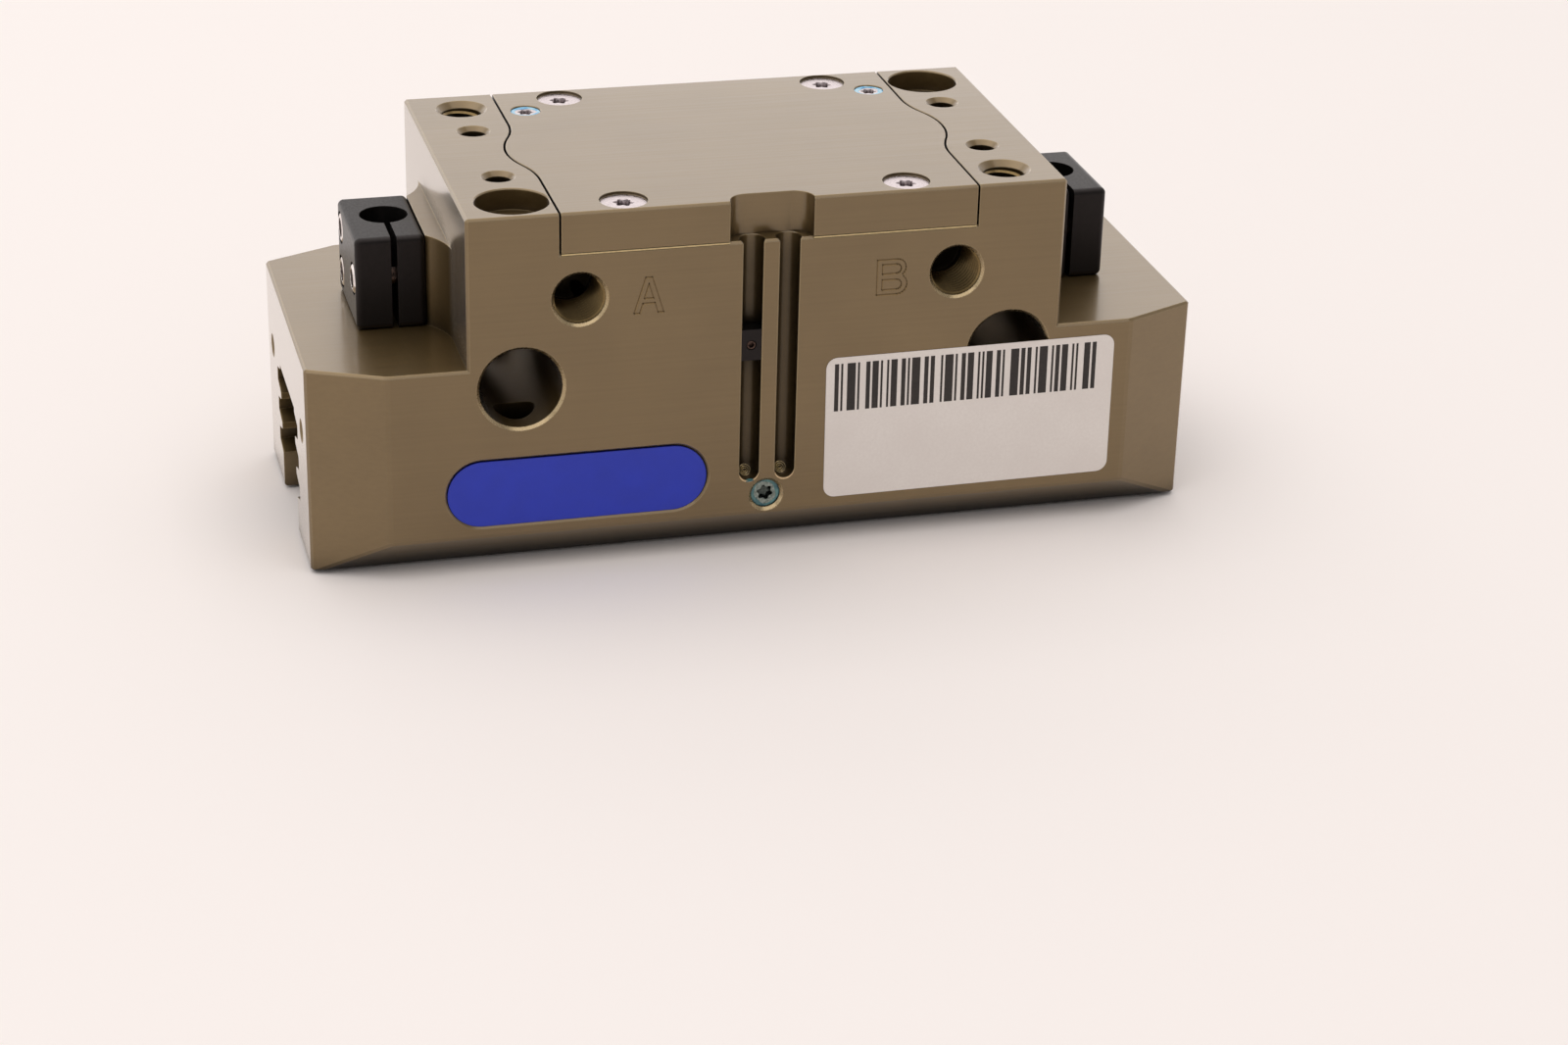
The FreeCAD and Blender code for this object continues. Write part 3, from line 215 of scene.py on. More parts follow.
def thread_ridge(bm, mouth, inward, radius, pitch, turns):
    """A helical ridge of triangular section on the wall of a hole, as one closed strip."""
    inward = Vector(inward).normalized()
    across = inward.orthogonal().normalized()
    other = inward.cross(across)
    root = radius + THREAD_SUNK
    crest = radius - pitch * THREAD_DEPTH_SHARE
    half = pitch * THREAD_ROOT_SHARE / 2
    rings = []
    for step in range(turns * THREAD_STEPS + 1):
        angle = 2 * math.pi * step / THREAD_STEPS
        middle = Vector(mouth) + inward * (half + pitch * step / THREAD_STEPS)
        out = across * math.cos(angle) + other * math.sin(angle)
        corners = [middle - inward * half + out * root, middle + out * crest,
                   middle + inward * half + out * root]
        rings.append([bm.verts.new(corner) for corner in corners])
    for near, far in zip(rings, rings[1:]):
        for k in range(3):
            bm.faces.new((near[k], near[k - 1], far[k - 1], far[k]))
    bm.faces.new(rings[0])
    bm.faces.new(reversed(rings[-1]))


def make_piece(name, bm, finish, body):
    """Turns a mesh into a piece: its finish, soft shading between creases, and its body."""
    bmesh.ops.recalc_face_normals(bm, faces=bm.faces[:])
    mesh = bpy.data.meshes.new(name)
    bm.to_mesh(mesh)
    bm.free()
    mesh.polygons.foreach_set("use_smooth", [True] * len(mesh.polygons))
    mesh.set_sharp_from_angle(angle=CREASE)
    mesh.materials.append(finish)
    piece = bpy.data.objects.new(name, mesh)
    bpy.context.scene.collection.objects.link(piece)
    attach(piece, body)
    return piece


def pattern_places(mount):
    """The hole centres of a bolt pattern that has spacings along X and Y."""
    spacing_x = mount["dims"]["spacing_x_mm"] * MM / 2
    spacing_y = mount["dims"].get("spacing_y_mm", 0) * MM / 2
    sides_y = (-1, 1) if spacing_y else (0,)
    return [Vector(mount["pos_m"]) + Vector((sx * spacing_x, sy * spacing_y, 0))
            for sx in (-1, 1) for sy in sides_y]


mounts = {mount["name"]: mount for mount in frame["record"]["mounts"]}
ports = bmesh.new()
for name in ("port_a", "port_b"):
    port = mounts[name]
    inward = -Vector(port["axis"])
    start = Vector((port["pos_m"][0], housing_low.y, port["pos_m"][2])) + inward * MOUTH_CHAMFER
    thread_ridge(ports, start, inward, port["dims"]["r_mm"] * MM, PORT_PITCH, PORT_TURNS)
make_piece("port_threads", ports, thread_coat, "housing")

DOWN = Vector((0, 0, -1))
corners = bmesh.new()
corner = mounts["top_threads"]
for place in pattern_places(corner):
    seat = 0 if place.x * place.y > 0 else housing_high.z - place.z - CORNER_CHAMFER
    start = place - DOWN * seat
    thread_ridge(corners, start, DOWN, corner["dims"]["hole_r_mm"] * MM, CORNER_PITCH, CORNER_TURNS)
make_piece("corner_threads", corners, thread_coat, "housing")

smalls = bmesh.new()
small = mounts["top_small_threads"]
for place in pattern_places(small):
    thread_ridge(smalls, place + DOWN * SMALL_PITCH, DOWN, small["dims"]["hole_r_mm"] * MM, SMALL_PITCH,
                 SMALL_TURNS)
make_piece("small_threads", smalls, thread_coat, "housing")

ends = bmesh.new()
for name, mount in mounts.items():
    if "_end_thread_" in name:
        inward = -Vector(mount["axis"])
        start = Vector((mount["axis"][0] * housing_high.x, mount["pos_m"][1], mount["pos_m"][2]))
        thread_ridge(ends, start + inward * MOUTH_CHAMFER, inward, mount["dims"]["r_mm"] * MM, END_PITCH,
                     END_TURNS)
make_piece("end_threads", ends, thread_coat, "housing")

# Broken edge of the housing under the front of the cover: a thin flat strip of pale metal colour,
# a painted highlight where the edge catches the light.
COVER_SEAT_DEPTH = 6.9 * MM          # top face to the seat of the cover
COVER_FRONT_HALF = 34.6 * MM
NOTCH_HALF = 7.0 * MM
BROKEN_EDGE_HEIGHT = 0.26 * MM
BROKEN_EDGE_PROUD = 0.02 * MM
EDGE_HIGHLIGHT_METAL = "#C7B285"


def painted_light_line(name, hex_colour):
    """A thin flat line of metal colour, a little speckled, for painted highlights and painted shade."""
    finish, tree, place = new_finish(name)
    speck = add(tree, "ShaderNodeTexNoise", {"Vector": place, "Scale": 1 / OXIDE_GRAIN, "Detail": 1.0})
    bright = add(tree, "ShaderNodeMapRange",
                 {"Value": speck.outputs["Fac"], "To Min": 0.75, "To Max": 1.25})
    tone = add(tree, "ShaderNodeVectorMath", {0: linear(hex_colour)[:3], 3: bright.outputs["Result"]},
               operation="SCALE")
    surface = add(tree, "ShaderNodeBsdfPrincipled", {
        "Base Color": tone.outputs["Vector"], "Metallic": 0.7, "Roughness": 0.45})
    add(tree, "ShaderNodeOutputMaterial", {"Surface": surface.outputs["BSDF"]})
    return finish


# Painted highlight: one pale strip on each side of the notch
bm = bmesh.new()
seat_z = housing_high.z - COVER_SEAT_DEPTH
for side in (-1, 1):
    edge = bmesh.ops.create_cube(bm, size=1.0)["verts"]
    length = COVER_FRONT_HALF - NOTCH_HALF
    middle = Vector((side * (COVER_FRONT_HALF + NOTCH_HALF) / 2, housing_low.y,
                     seat_z - BROKEN_EDGE_HEIGHT / 2))
    for corner_point in edge:
        size = Vector((length, 2 * BROKEN_EDGE_PROUD, BROKEN_EDGE_HEIGHT))
        corner_point.co = middle + Vector(a * b for a, b in zip(corner_point.co, size))
make_piece("painted_edge_highlight", bm, painted_light_line("painted_edge_highlight", EDGE_HIGHLIGHT_METAL), "housing")

# Port marks: the letters A and B beside the air ports, engraved as thin outlines after anodising.
# They are drawn as flat strips on the face: a darker strip is painted shade in the groove,
# and a paler strip just below it is a painted highlight on the groove's lower wall.
GROOVE_SHADE = "#6A573B"
WALL_HIGHLIGHT = "#8A744D"
MARK_LINE = 0.16 * MM
MARK_WALL_LINE = MARK_LINE * 0.7
MARK_DEPTH = 14.85 * MM      # top face to the middle of the letters
MARK_A_X = -20.3 * MM
MARK_B_X = 20.4 * MM
MARK_PROUD = 0.02 * MM
MARK_GLINT = 0.16 * MM       # shift of the painted highlight strip from the painted shade strip


def arc(centre_x, centre_z, radius, from_degrees, to_degrees, count=8):
    """Points on an arc of a letter's outline."""
    points = []
    for k in range(count + 1):
        angle = math.radians(from_degrees + (to_degrees - from_degrees) * k / count)
        points.append((centre_x + radius * math.cos(angle), centre_z + radius * math.sin(angle)))
    return points


# Outlines in millimetres from the middle of each letter
LETTER_A = [
    [(-2.45, -3.05), (-0.55, 3.05), (0.55, 3.05), (2.45, -3.05),
     (1.5, -3.05), (1.0, -1.4), (-1.0, -1.4), (-1.5, -3.05)],
    [(-0.75, -0.55), (0.75, -0.55), (0.0, 1.95)],
]
LETTER_B = [
    [(-2.5, -3.05), (-2.5, 3.05)] + arc(0.9, 1.55, 1.5, 90, -50) + arc(0.95, -1.35, 1.7, 50, -90),
    [(-1.6, 0.55), (-1.6, 2.2)] + arc(0.8, 1.4, 0.8, 90, -90),
    [(-1.6, -2.2), (-1.6, -0.45)] + arc(0.85, -1.35, 0.85, 90, -90),
]


def line_strip(bm, start, end, depth, line):
    """A flat strip along a stroke of a letter, with a thin closed body that sits on the face."""
    start, end = Vector(start), Vector(end)
    along = (end - start).normalized() * (line / 2)
    side = Vector((-along.y, along.x))
    plan = [start - along + side, start - along - side, end + along - side, end + along + side]
    front = [bm.verts.new((p.x, depth - MARK_PROUD, p.y)) for p in plan]
    back = [bm.verts.new((p.x, depth + MARK_PROUD, p.y)) for p in plan]
    bm.faces.new(front)
    bm.faces.new(reversed(back))
    for k in range(4):
        bm.faces.new((front[k - 1], front[k], back[k], back[k - 1]))


def mark_piece(name, finish, line, shift, depth):
    """Both letters as strips of one width, shifted from the middle of the marks."""
    bm = bmesh.new()
    for outlines, middle_x in ((LETTER_A, MARK_A_X), (LETTER_B, MARK_B_X)):
        middle = Vector((middle_x, housing_high.z - MARK_DEPTH)) + shift
        for outline in outlines:
            points = [middle + Vector(p) * MM for p in outline]
            for near, far in zip(points, points[1:] + points[:1]):
                line_strip(bm, near, far, depth, line)
    make_piece(name, bm, finish, "housing")


# Painted highlight strips first, then the painted shade strips of the grooves
mark_piece("port_mark_wall_highlights", painted_light_line("painted_wall_highlight", WALL_HIGHLIGHT), MARK_WALL_LINE,
           Vector((MARK_GLINT / 2, -MARK_GLINT)), housing_low.y)
mark_piece("port_mark_groove_shades", painted_light_line("painted_groove_shade", GROOVE_SHADE), MARK_LINE,
           Vector((0, 0)), housing_low.y - MARK_PROUD / 2)

# Base jaws, switch cams and wedge hook: hardened steel, ground where they slide.
# Grinding leaves fine straight lines along the slide and a satin grey.
GROUND_STEEL = "#8C8A86"
GROUND_STEEL_DARK = "#6F6D6A"
GRINDING_LINE = 0.4 * MM
GRINDING_STRETCH = 0.03
GROUND_EDGE = 0.15 * MM      # edges are stoned this round


def lined_metal(name, light, dark, line, stretch, roughness, spread):
    """A bare metal with fine straight tool lines along X, or with fine specks where the stretch is 1."""
    finish, tree, place = new_finish(name)
    along = add(tree, "ShaderNodeMapping", {"Vector": place, "Scale": (stretch, 1, 1)})
    lines = add(tree, "ShaderNodeTexNoise",
                {"Vector": along.outputs["Vector"], "Scale": 1 / line, "Detail": 3.0})
    share = add(tree, "ShaderNodeMapRange", {"Value": lines.outputs["Fac"], "From Min": 0.3, "From Max": 0.7})
    tone = add(tree, "ShaderNodeMix", {0: share.outputs["Result"], 6: linear(dark), 7: linear(light)},
               data_type="RGBA")
    gloss = add(tree, "ShaderNodeMapRange", {"Value": lines.outputs["Fac"], "From Min": 0.3, "From Max": 0.7,
                                             "To Min": roughness - spread, "To Max": roughness + spread})
    rounded = add(tree, "ShaderNodeBevel", {"Radius": GROUND_EDGE}, samples=4)
    relief = add(tree, "ShaderNodeBump", {"Height": lines.outputs["Fac"], "Normal": rounded.outputs["Normal"],
                                          "Strength": 0.1, "Distance": TOOL_RELIEF})
    surface = add(tree, "ShaderNodeBsdfPrincipled", {
        "Base Color": tone.outputs[2], "Roughness": gloss.outputs["Result"],
        "Normal": relief.outputs["Normal"], "Metallic": 1.0})
    add(tree, "ShaderNodeOutputMaterial", {"Surface": surface.outputs["BSDF"]})
    return finish


ground_steel = lined_metal("ground_steel", GROUND_STEEL, GROUND_STEEL_DARK, GRINDING_LINE,
                           GRINDING_STRETCH, 0.32, 0.06)
dress(ground_steel, "left_base_jaw", "right_base_jaw", "left_switch_cam", "right_switch_cam", "wedge_hook")

# Threads in the finger faces of the base jaws, of the same steel, tapped before hardening.
# The fingers bolt on here, so the threads ride with the jaws.
FINGER_PITCH = 1.0 * MM
FINGER_TURNS = 9
for side in ("left", "right"):
    finger = mounts[side + "_finger_threads"]
    bm = bmesh.new()
    for place in pattern_places(finger):
        thread_ridge(bm, place, -DOWN, finger["dims"]["hole_r_mm"] * MM, FINGER_PITCH, FINGER_TURNS)
    make_piece(side + "_finger_threads", bm, ground_steel, side + "_jaw")

# Piston: milled from bare aluminium, pale with fine cutter lines, and its two magnets, in shiny nickel plate.
# It runs unseen inside the cylinder, and a bolt holds the wedge hook to it.
PISTON_LIGHT = "#C6C5C2"
PISTON_DARK = "#A9A8A6"
PISTON_LINE = 0.5 * MM
NICKEL = "#CDC8BE"
NICKEL_DULL = "#B9B4AA"
METAL_SPECK = 0.3 * MM
dress(lined_metal("machined_aluminium", PISTON_LIGHT, PISTON_DARK, PISTON_LINE, 0.05, 0.3, 0.06), "piston")
dress(lined_metal("nickel_plate", NICKEL, NICKEL_DULL, METAL_SPECK, 1.0, 0.18, 0.04), "piston_magnets")

# Seals: moulded nitrile rubber, pressed into their grooves.
# The mould leaves them dull black with a faint grain.
RUBBER = "#1B1A19"
RUBBER_DUSTY = "#2B2926"
MOULD_GRAIN = 0.4 * MM


def moulded_rubber():
    finish, tree, place = new_finish("moulded_rubber")
    grain = add(tree, "ShaderNodeTexNoise", {"Vector": place, "Scale": 1 / MOULD_GRAIN, "Detail": 3.0})
    tone = add(tree, "ShaderNodeMix", {0: grain.outputs["Fac"], 6: linear(RUBBER), 7: linear(RUBBER_DUSTY)},
               data_type="RGBA")
    relief = add(tree, "ShaderNodeBump",
                 {"Height": grain.outputs["Fac"], "Strength": 0.2, "Distance": TOOL_RELIEF})
    surface = add(tree, "ShaderNodeBsdfPrincipled", {
        "Base Color": tone.outputs[2], "Normal": relief.outputs["Normal"], "Roughness": 0.65, "IOR": 1.5})
    add(tree, "ShaderNodeOutputMaterial", {"Surface": surface.outputs["BSDF"]})
    return finish


dress(moulded_rubber(), "cover_seal", "rod_seal", "piston_seal")

# Cylinder cover: a plate of the same hard-anodised aluminium, let into the top of the housing
# and milled flush with it, so it shares the housing's finish and cutter marks.
dress(hard_coat, "cylinder_cover")

# Cover screws: four countersunk steel screws with six-lobed sockets, plated in bright zinc.
# The plating is almost white with a pinkish cast; painted shade darkens it in the sockets.
ZINC = "#CEC3C4"
ZINC_DULL = "#BAAFB1"
ZINC_PATCH = 0.5 * MM
ZINC_EDGE = 0.1 * MM
SOCKET_SHADE_REACH = 2.0 * MM      # painted shade darkens the plating in a socket or slit this deep
SOCKET_STEPS = 48
COVER_SCREW_SHANK = 2.0 * MM
COVER_SCREW_STAR = 1.65 * MM         # socket centre to the lobe tips
COVER_SCREW_HEAD = 3.9 * MM          # head radius, as in the cover's seats
SCREW_RIM = 0.18 * MM
SCREW_TIP = 0.4 * MM                 # chamfer at the end of the shank
STAR_WAIST = 0.72                    # radius between the lobes against the lobe tips
STAR_DEPTH = 1.3 * MM
STAR_BOTTOM = 0.4 * MM               # radius of the flat at the bottom of the socket
STAR_LEAD = 0.1 * MM                 # depth of the flare at its mouth
STAR_POINT, STAR_TAPER, STAR_FLARE = 1.15, 0.92, 1.06    # bottom, floor and mouth against the plain socket


def plated_zinc(name, light, dull, roughness, darkest):
    """Zinc plate with fine patches and painted shade in sockets and slits, down to the given share."""
    finish, tree, place = new_finish(name)
    patch = add(tree, "ShaderNodeTexNoise", {"Vector": place, "Scale": 1 / ZINC_PATCH, "Detail": 4.0})
    share = add(tree, "ShaderNodeMapRange",
                {"Value": patch.outputs["Fac"], "From Min": 0.35, "From Max": 0.65})
    tone = add(tree, "ShaderNodeMix", {0: share.outputs["Result"], 6: linear(dull), 7: linear(light)},
               data_type="RGBA")
    gloss = add(tree, "ShaderNodeMapRange", {"Value": patch.outputs["Fac"], "From Min": 0.3, "From Max": 0.7,
                                             "To Min": roughness - 0.06, "To Max": roughness + 0.06})
    rounded = add(tree, "ShaderNodeBevel", {"Radius": ZINC_EDGE}, samples=4)
    relief = add(tree, "ShaderNodeBump", {"Height": patch.outputs["Fac"], "Normal": rounded.outputs["Normal"],
                                          "Strength": 0.08, "Distance": TOOL_RELIEF})
    # Painted shade in sockets, slits and counterbores
    open_share = add(tree, "ShaderNodeAmbientOcclusion", {"Distance": SOCKET_SHADE_REACH}, samples=8)
    painted_shade = add(tree, "ShaderNodeMapRange",
                 {"Value": open_share.outputs["AO"], "From Min": 0.2, "From Max": 0.8, "To Min": darkest})
    shaded = add(tree, "ShaderNodeVectorMath", {0: tone.outputs[2], 3: painted_shade.outputs["Result"]},
                 operation="SCALE")
    surface = add(tree, "ShaderNodeBsdfPrincipled", {
        "Base Color": shaded.outputs["Vector"], "Roughness": gloss.outputs["Result"],
        "Normal": relief.outputs["Normal"], "Metallic": 1.0})
    add(tree, "ShaderNodeOutputMaterial", {"Surface": surface.outputs["BSDF"]})
    return finish


zinc_plate = plated_zinc("bright_zinc_plate", ZINC, ZINC_DULL, 0.29, 0.1)


def star(tip):
    """Radius of a six-lobed socket at an angle, from the radius at its lobe tips."""
    middle = tip * (1 + STAR_WAIST) / 2
    swing = tip * (1 - STAR_WAIST) / 2
    return lambda angle: middle + swing * math.cos(6 * angle)


def turned_rings(bm, start, inward, rings, closed=False):
    """A turned or lobed body from rings of (radius or radius at an angle, distance along the axis)."""
    inward = Vector(inward).normalized()
    across = inward.orthogonal().normalized()
    other = inward.cross(across)
    loops = []
    for radius, distance in rings:
        loop = []
        for step in range(SOCKET_STEPS):
            angle = 2 * math.pi * step / SOCKET_STEPS
            reach = radius(angle) if callable(radius) else radius
            lift = distance(angle) if callable(distance) else distance
            out = across * math.cos(angle) + other * math.sin(angle)
            loop.append(bm.verts.new(Vector(start) + inward * lift + out * reach))
        loops.append(loop)
    pairs = list(zip(loops, loops[1:]))
    if closed:
        pairs.append((loops[-1], loops[0]))
    else:
        bm.faces.new(loops[0])
        bm.faces.new(reversed(loops[-1]))
    for near, far in pairs:
        for k in range(SOCKET_STEPS):
            bm.faces.new((near[k], near[k - 1], far[k - 1], far[k]))


def spread_places(node, radius, count_y=2):
    """The axes of screws that stand in the corners of their node's box."""
    low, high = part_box(node)
    ys = (low.y + radius, high.y - radius) if count_y == 2 else ((low.y + high.y) / 2,)
    return [Vector((x, y, high.z)) for x in (low.x + radius, high.x - radius) for y in ys]


cover_screw_low, cover_screw_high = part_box("cover_screws")
cover_screw_length = cover_screw_high.z - cover_screw_low.z
bm = bmesh.new()
for place in spread_places("cover_screws", COVER_SCREW_HEAD):
    turned_rings(bm, place, DOWN, [
        (STAR_BOTTOM, STAR_DEPTH * STAR_POINT),
        (star(COVER_SCREW_STAR * STAR_TAPER), STAR_DEPTH),
        (star(COVER_SCREW_STAR), STAR_LEAD),
        (star(COVER_SCREW_STAR * STAR_FLARE), 0),
        (COVER_SCREW_HEAD - SCREW_RIM, 0),
        (COVER_SCREW_HEAD, SCREW_RIM),
        (COVER_SCREW_SHANK, COVER_SCREW_HEAD - COVER_SCREW_SHANK),
        (COVER_SCREW_SHANK, cover_screw_length - SCREW_TIP),
        (COVER_SCREW_SHANK - SCREW_TIP, cover_screw_length),
    ])
star_screws = make_piece("cover_star_screws", bm, zinc_plate, "housing")
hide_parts("cover_screws")

# Air plugs in the cover and purge plug in the front: small set screws with six-lobed sockets.
# Each was wetted with light blue thread locker, which set as an uneven glossy ring round the rim.
PLUG_RADIUS = 2.5 * MM
PLUG_EDGE = 0.4 * MM
PLUG_STAR = 1.35 * MM
PLUG_BOTTOM = 0.3 * MM
LOCKER = "#4AA3D6"
LOCKER_THIN = "#A4D2E4"
AIR_LOCKER_SHARE = 0.68              # inner edge of the ring against the plug's radius
SMEARED_SHADED_PURGE = "#98A29B"
SMEARED_SHADED_PURGE_DARK = "#6B7570"
LOCKER_PATCH = 1.2 * MM


def dried_thread_locker(name, thick, thin):
    finish, tree, place = new_finish(name)
    patch = add(tree, "ShaderNodeTexNoise", {"Vector": place, "Scale": 1 / LOCKER_PATCH, "Detail": 3.0})
    share = add(tree, "ShaderNodeMapRange",
                {"Value": patch.outputs["Fac"], "From Min": 0.35, "From Max": 0.65})
    tone = add(tree, "ShaderNodeMix", {0: share.outputs["Result"], 6: linear(thick), 7: linear(thin)},
               data_type="RGBA")
    relief = add(tree, "ShaderNodeBump",
                 {"Height": patch.outputs["Fac"], "Strength": 0.3, "Distance": 0.1 * MM})
    surface = add(tree, "ShaderNodeBsdfPrincipled", {
        "Base Color": tone.outputs[2], "Normal": relief.outputs["Normal"], "Roughness": 0.25, "IOR": 1.48})
    add(tree, "ShaderNodeOutputMaterial", {"Surface": surface.outputs["BSDF"]})
    return finish


locker = dried_thread_locker("dried_thread_locker", LOCKER, LOCKER_THIN)


def star_plug(bm, top, inward, length):
    """A set screw without a head, with its socket and a chamfer at both ends."""
    turned_rings(bm, top, inward, [
        (PLUG_BOTTOM, STAR_DEPTH * STAR_POINT),
        (star(PLUG_STAR * STAR_TAPER), STAR_DEPTH),
        (star(PLUG_STAR), STAR_LEAD),
        (star(PLUG_STAR * STAR_FLARE), 0),
        (PLUG_RADIUS - PLUG_EDGE, 0),
        (PLUG_RADIUS, PLUG_EDGE),
        (PLUG_RADIUS, length - PLUG_EDGE),
        (PLUG_RADIUS - PLUG_EDGE, length),
    ])


def locker_ring(bm, top, inward, seed, share):
    """An uneven ring of set thread locker on the plug's rim, from a share of its radius outwards."""
    def inner(angle):
        waves = 0.06 * math.sin(2 * angle + seed), 0.03 * math.sin(5 * angle + 2 * seed)
        return PLUG_RADIUS * (share + waves[0] + waves[1])

    def crown(angle):
        return -MM * (0.13 + 0.04 * math.sin(3 * angle + seed))

    turned_rings(bm, top, inward, [
        (inner, 0.04 * MM),
        (lambda angle: inner(angle) + 0.12 * MM, lambda angle: crown(angle) * 0.6),
        (PLUG_RADIUS * 0.93, crown),
        (PLUG_RADIUS, lambda angle: crown(angle) * 0.5),
        (PLUG_RADIUS, PLUG_EDGE * 0.9),
    ], closed=True)


plug_low, plug_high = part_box("cover_air_plugs")
bm = bmesh.new()
rings = bmesh.new()
for seed, place in enumerate(spread_places("cover_air_plugs", PLUG_RADIUS, count_y=1)):
    star_plug(bm, place, DOWN, plug_high.z - plug_low.z)
    locker_ring(rings, place, DOWN, seed * 1.7, AIR_LOCKER_SHARE)
air_plugs = make_piece("cover_star_plugs", bm, zinc_plate, "housing")
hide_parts("cover_air_plugs")

purge_low, purge_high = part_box("purge_plug")
purge_top = Vector(((purge_low.x + purge_high.x) / 2, purge_low.y, (purge_low.z + purge_high.z) / 2))
BACKWARD = Vector((0, 1, 0))
bm = bmesh.new()
star_plug(bm, purge_top, BACKWARD, purge_high.y - purge_low.y)
# Painted shade in part: the purge plug's plating is drawn darker and greyer than the air plugs'
smeared_shaded_plug = plated_zinc("smeared_shaded_zinc_plate", SMEARED_SHADED_PURGE, SMEARED_SHADED_PURGE_DARK, 0.3, 0.04)
purge = make_piece("purge_star_plug", bm, smeared_shaded_plug, "housing")
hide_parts("purge_plug")
make_piece("thread_locker", rings, locker, "housing")

# Lower ends of the sensor slots: cut with a ball-nosed cutter, which left a bright swirl; a pale flat strip
# along each lower rim is a painted highlight. The purge plug's locker ran into the left one; it is a darker
# teal than on the air plugs, partly its own colour and partly painted shade.
AGED_SHADED_LOCKER = "#27505E"
AGED_SHADED_LOCKER_THIN = "#5E8987"
PURGE_LOCKER_SHARE = 0.76
SLOT_RADIUS = 2.1 * MM
SLOT_SINK = 1.23 * MM                # slot axis behind the front face
SLOT_SPACING = 6.1 * MM
SLOT_END_DEPTH = 47.7 * MM           # top face to the centre of the round end
SWIRL_FIRST = 0.3 * MM               # radius of the smallest ridge
SWIRL_PITCH = 0.32 * MM
SWIRL_RIDGES = 3
SWIRL_RIDGE = 0.1 * MM
SWIRL_AXIS = Vector((0, 0.85, -0.52)).normalized()
SWIRL_METAL = "#F3DFB2"
SWIRL_METAL_DARK = "#D9C391"
RIM_HIGHLIGHT = "#CDB48C"
RIM_WIDTH = 0.32 * MM
DROP_RADIUS = 1.1 * MM
DROP_HEIGHT = 0.3 * MM

rings = bmesh.new()
locker_ring(rings, purge_top, BACKWARD, 4.1, PURGE_LOCKER_SHARE)
left_end = Vector((-SLOT_SPACING / 2, housing_low.y + SLOT_SINK, housing_high.z - SLOT_END_DEPTH))
drop_side = Vector((0.12, -0.3, -0.95)).normalized()
turned_rings(rings, left_end + drop_side * SLOT_RADIUS, drop_side, [
    (0.1 * MM, -DROP_HEIGHT),
    (lambda angle: DROP_RADIUS * (0.55 + 0.1 * math.sin(3 * angle)), -DROP_HEIGHT * 0.8),
    (lambda angle: DROP_RADIUS * (0.9 + 0.1 * math.sin(2 * angle)), -DROP_HEIGHT * 0.1),
    (DROP_RADIUS * 0.8, 0.1 * MM),
])
# Partly painted shade: this locker is drawn darker than on the air plugs
aged_shaded_locker = dried_thread_locker("aged_shaded_thread_locker", AGED_SHADED_LOCKER, AGED_SHADED_LOCKER_THIN)
make_piece("purge_locker", rings, aged_shaded_locker, "housing")

bm = bmesh.new()
for side in (-1, 1):
    centre = Vector((side * SLOT_SPACING / 2, left_end.y, left_end.z))
    for k in range(SWIRL_RIDGES):
        reach = SWIRL_FIRST + SWIRL_PITCH * k
        floor_depth = math.sqrt(SLOT_RADIUS ** 2 - reach ** 2)
        turned_rings(bm, centre, SWIRL_AXIS, [
            (reach - SWIRL_RIDGE, floor_depth),
            (reach, floor_depth - SWIRL_RIDGE),
            (reach + SWIRL_RIDGE, floor_depth),
            (reach, floor_depth + SWIRL_RIDGE),
        ], closed=True)
cutter_swirl = lined_metal("cutter_swirl", SWIRL_METAL, SWIRL_METAL_DARK, METAL_SPECK, 1.0, 0.14, 0.04)
make_piece("slot_end_swirls", bm, cutter_swirl, "housing")

# Painted highlight: a pale flat strip along the lower rim of each slot end
bm = bmesh.new()
rim_radius = math.sqrt(SLOT_RADIUS ** 2 - SLOT_SINK ** 2)
for side in (-1, 1):
    sections = []
    for x, z in arc(side * SLOT_SPACING / 2, left_end.z, rim_radius, 200, 350, 20):
        corners = [(x, z, -1), (x, z - RIM_WIDTH, -1), (x, z - RIM_WIDTH, 1), (x, z, 1)]
        sections.append([bm.verts.new((cx, housing_low.y + MARK_PROUD * cy, cz)) for cx, cz, cy in corners])
    for near, far in zip(sections, sections[1:]):
        for k in range(4):
            bm.faces.new((near[k], near[k - 1], far[k - 1], far[k]))
    bm.faces.new(sections[0])
    bm.faces.new(reversed(sections[-1]))
make_piece("slot_end_rims", bm, painted_light_line("slot_end_rim_highlight", RIM_HIGHLIGHT), "housing")

# Mouths of the ports, the side bolt holes and the purge hole: each lined with a thin cone
# of paler metal colour, a painted highlight on the countersunk mouth.
MOUTH_HIGHLIGHT = "#B9A684"
MOUTH_HIGHLIGHT_DARK = "#9E8C6C"
PORT_MOUTH = 0.45 * MM
HOLE_MOUTH = 0.5 * MM
SIDE_BORE_RADIUS = 6.85 * MM
MOUTH_SKIN = 0.02 * MM


def mouth_highlight_cone(bm, x, z, radius, width):
    """A thin cone that lines the countersunk mouth of a hole in the front face."""
    turned_rings(bm, (x, housing_low.y, z), BACKWARD, [
        (radius + width, -MOUTH_SKIN),
        (radius - MOUTH_SKIN, width),
        (radius + MOUTH_SKIN, width + MOUTH_SKIN),
        (radius + width + MOUTH_SKIN, MOUTH_SKIN),
    ], closed=True)


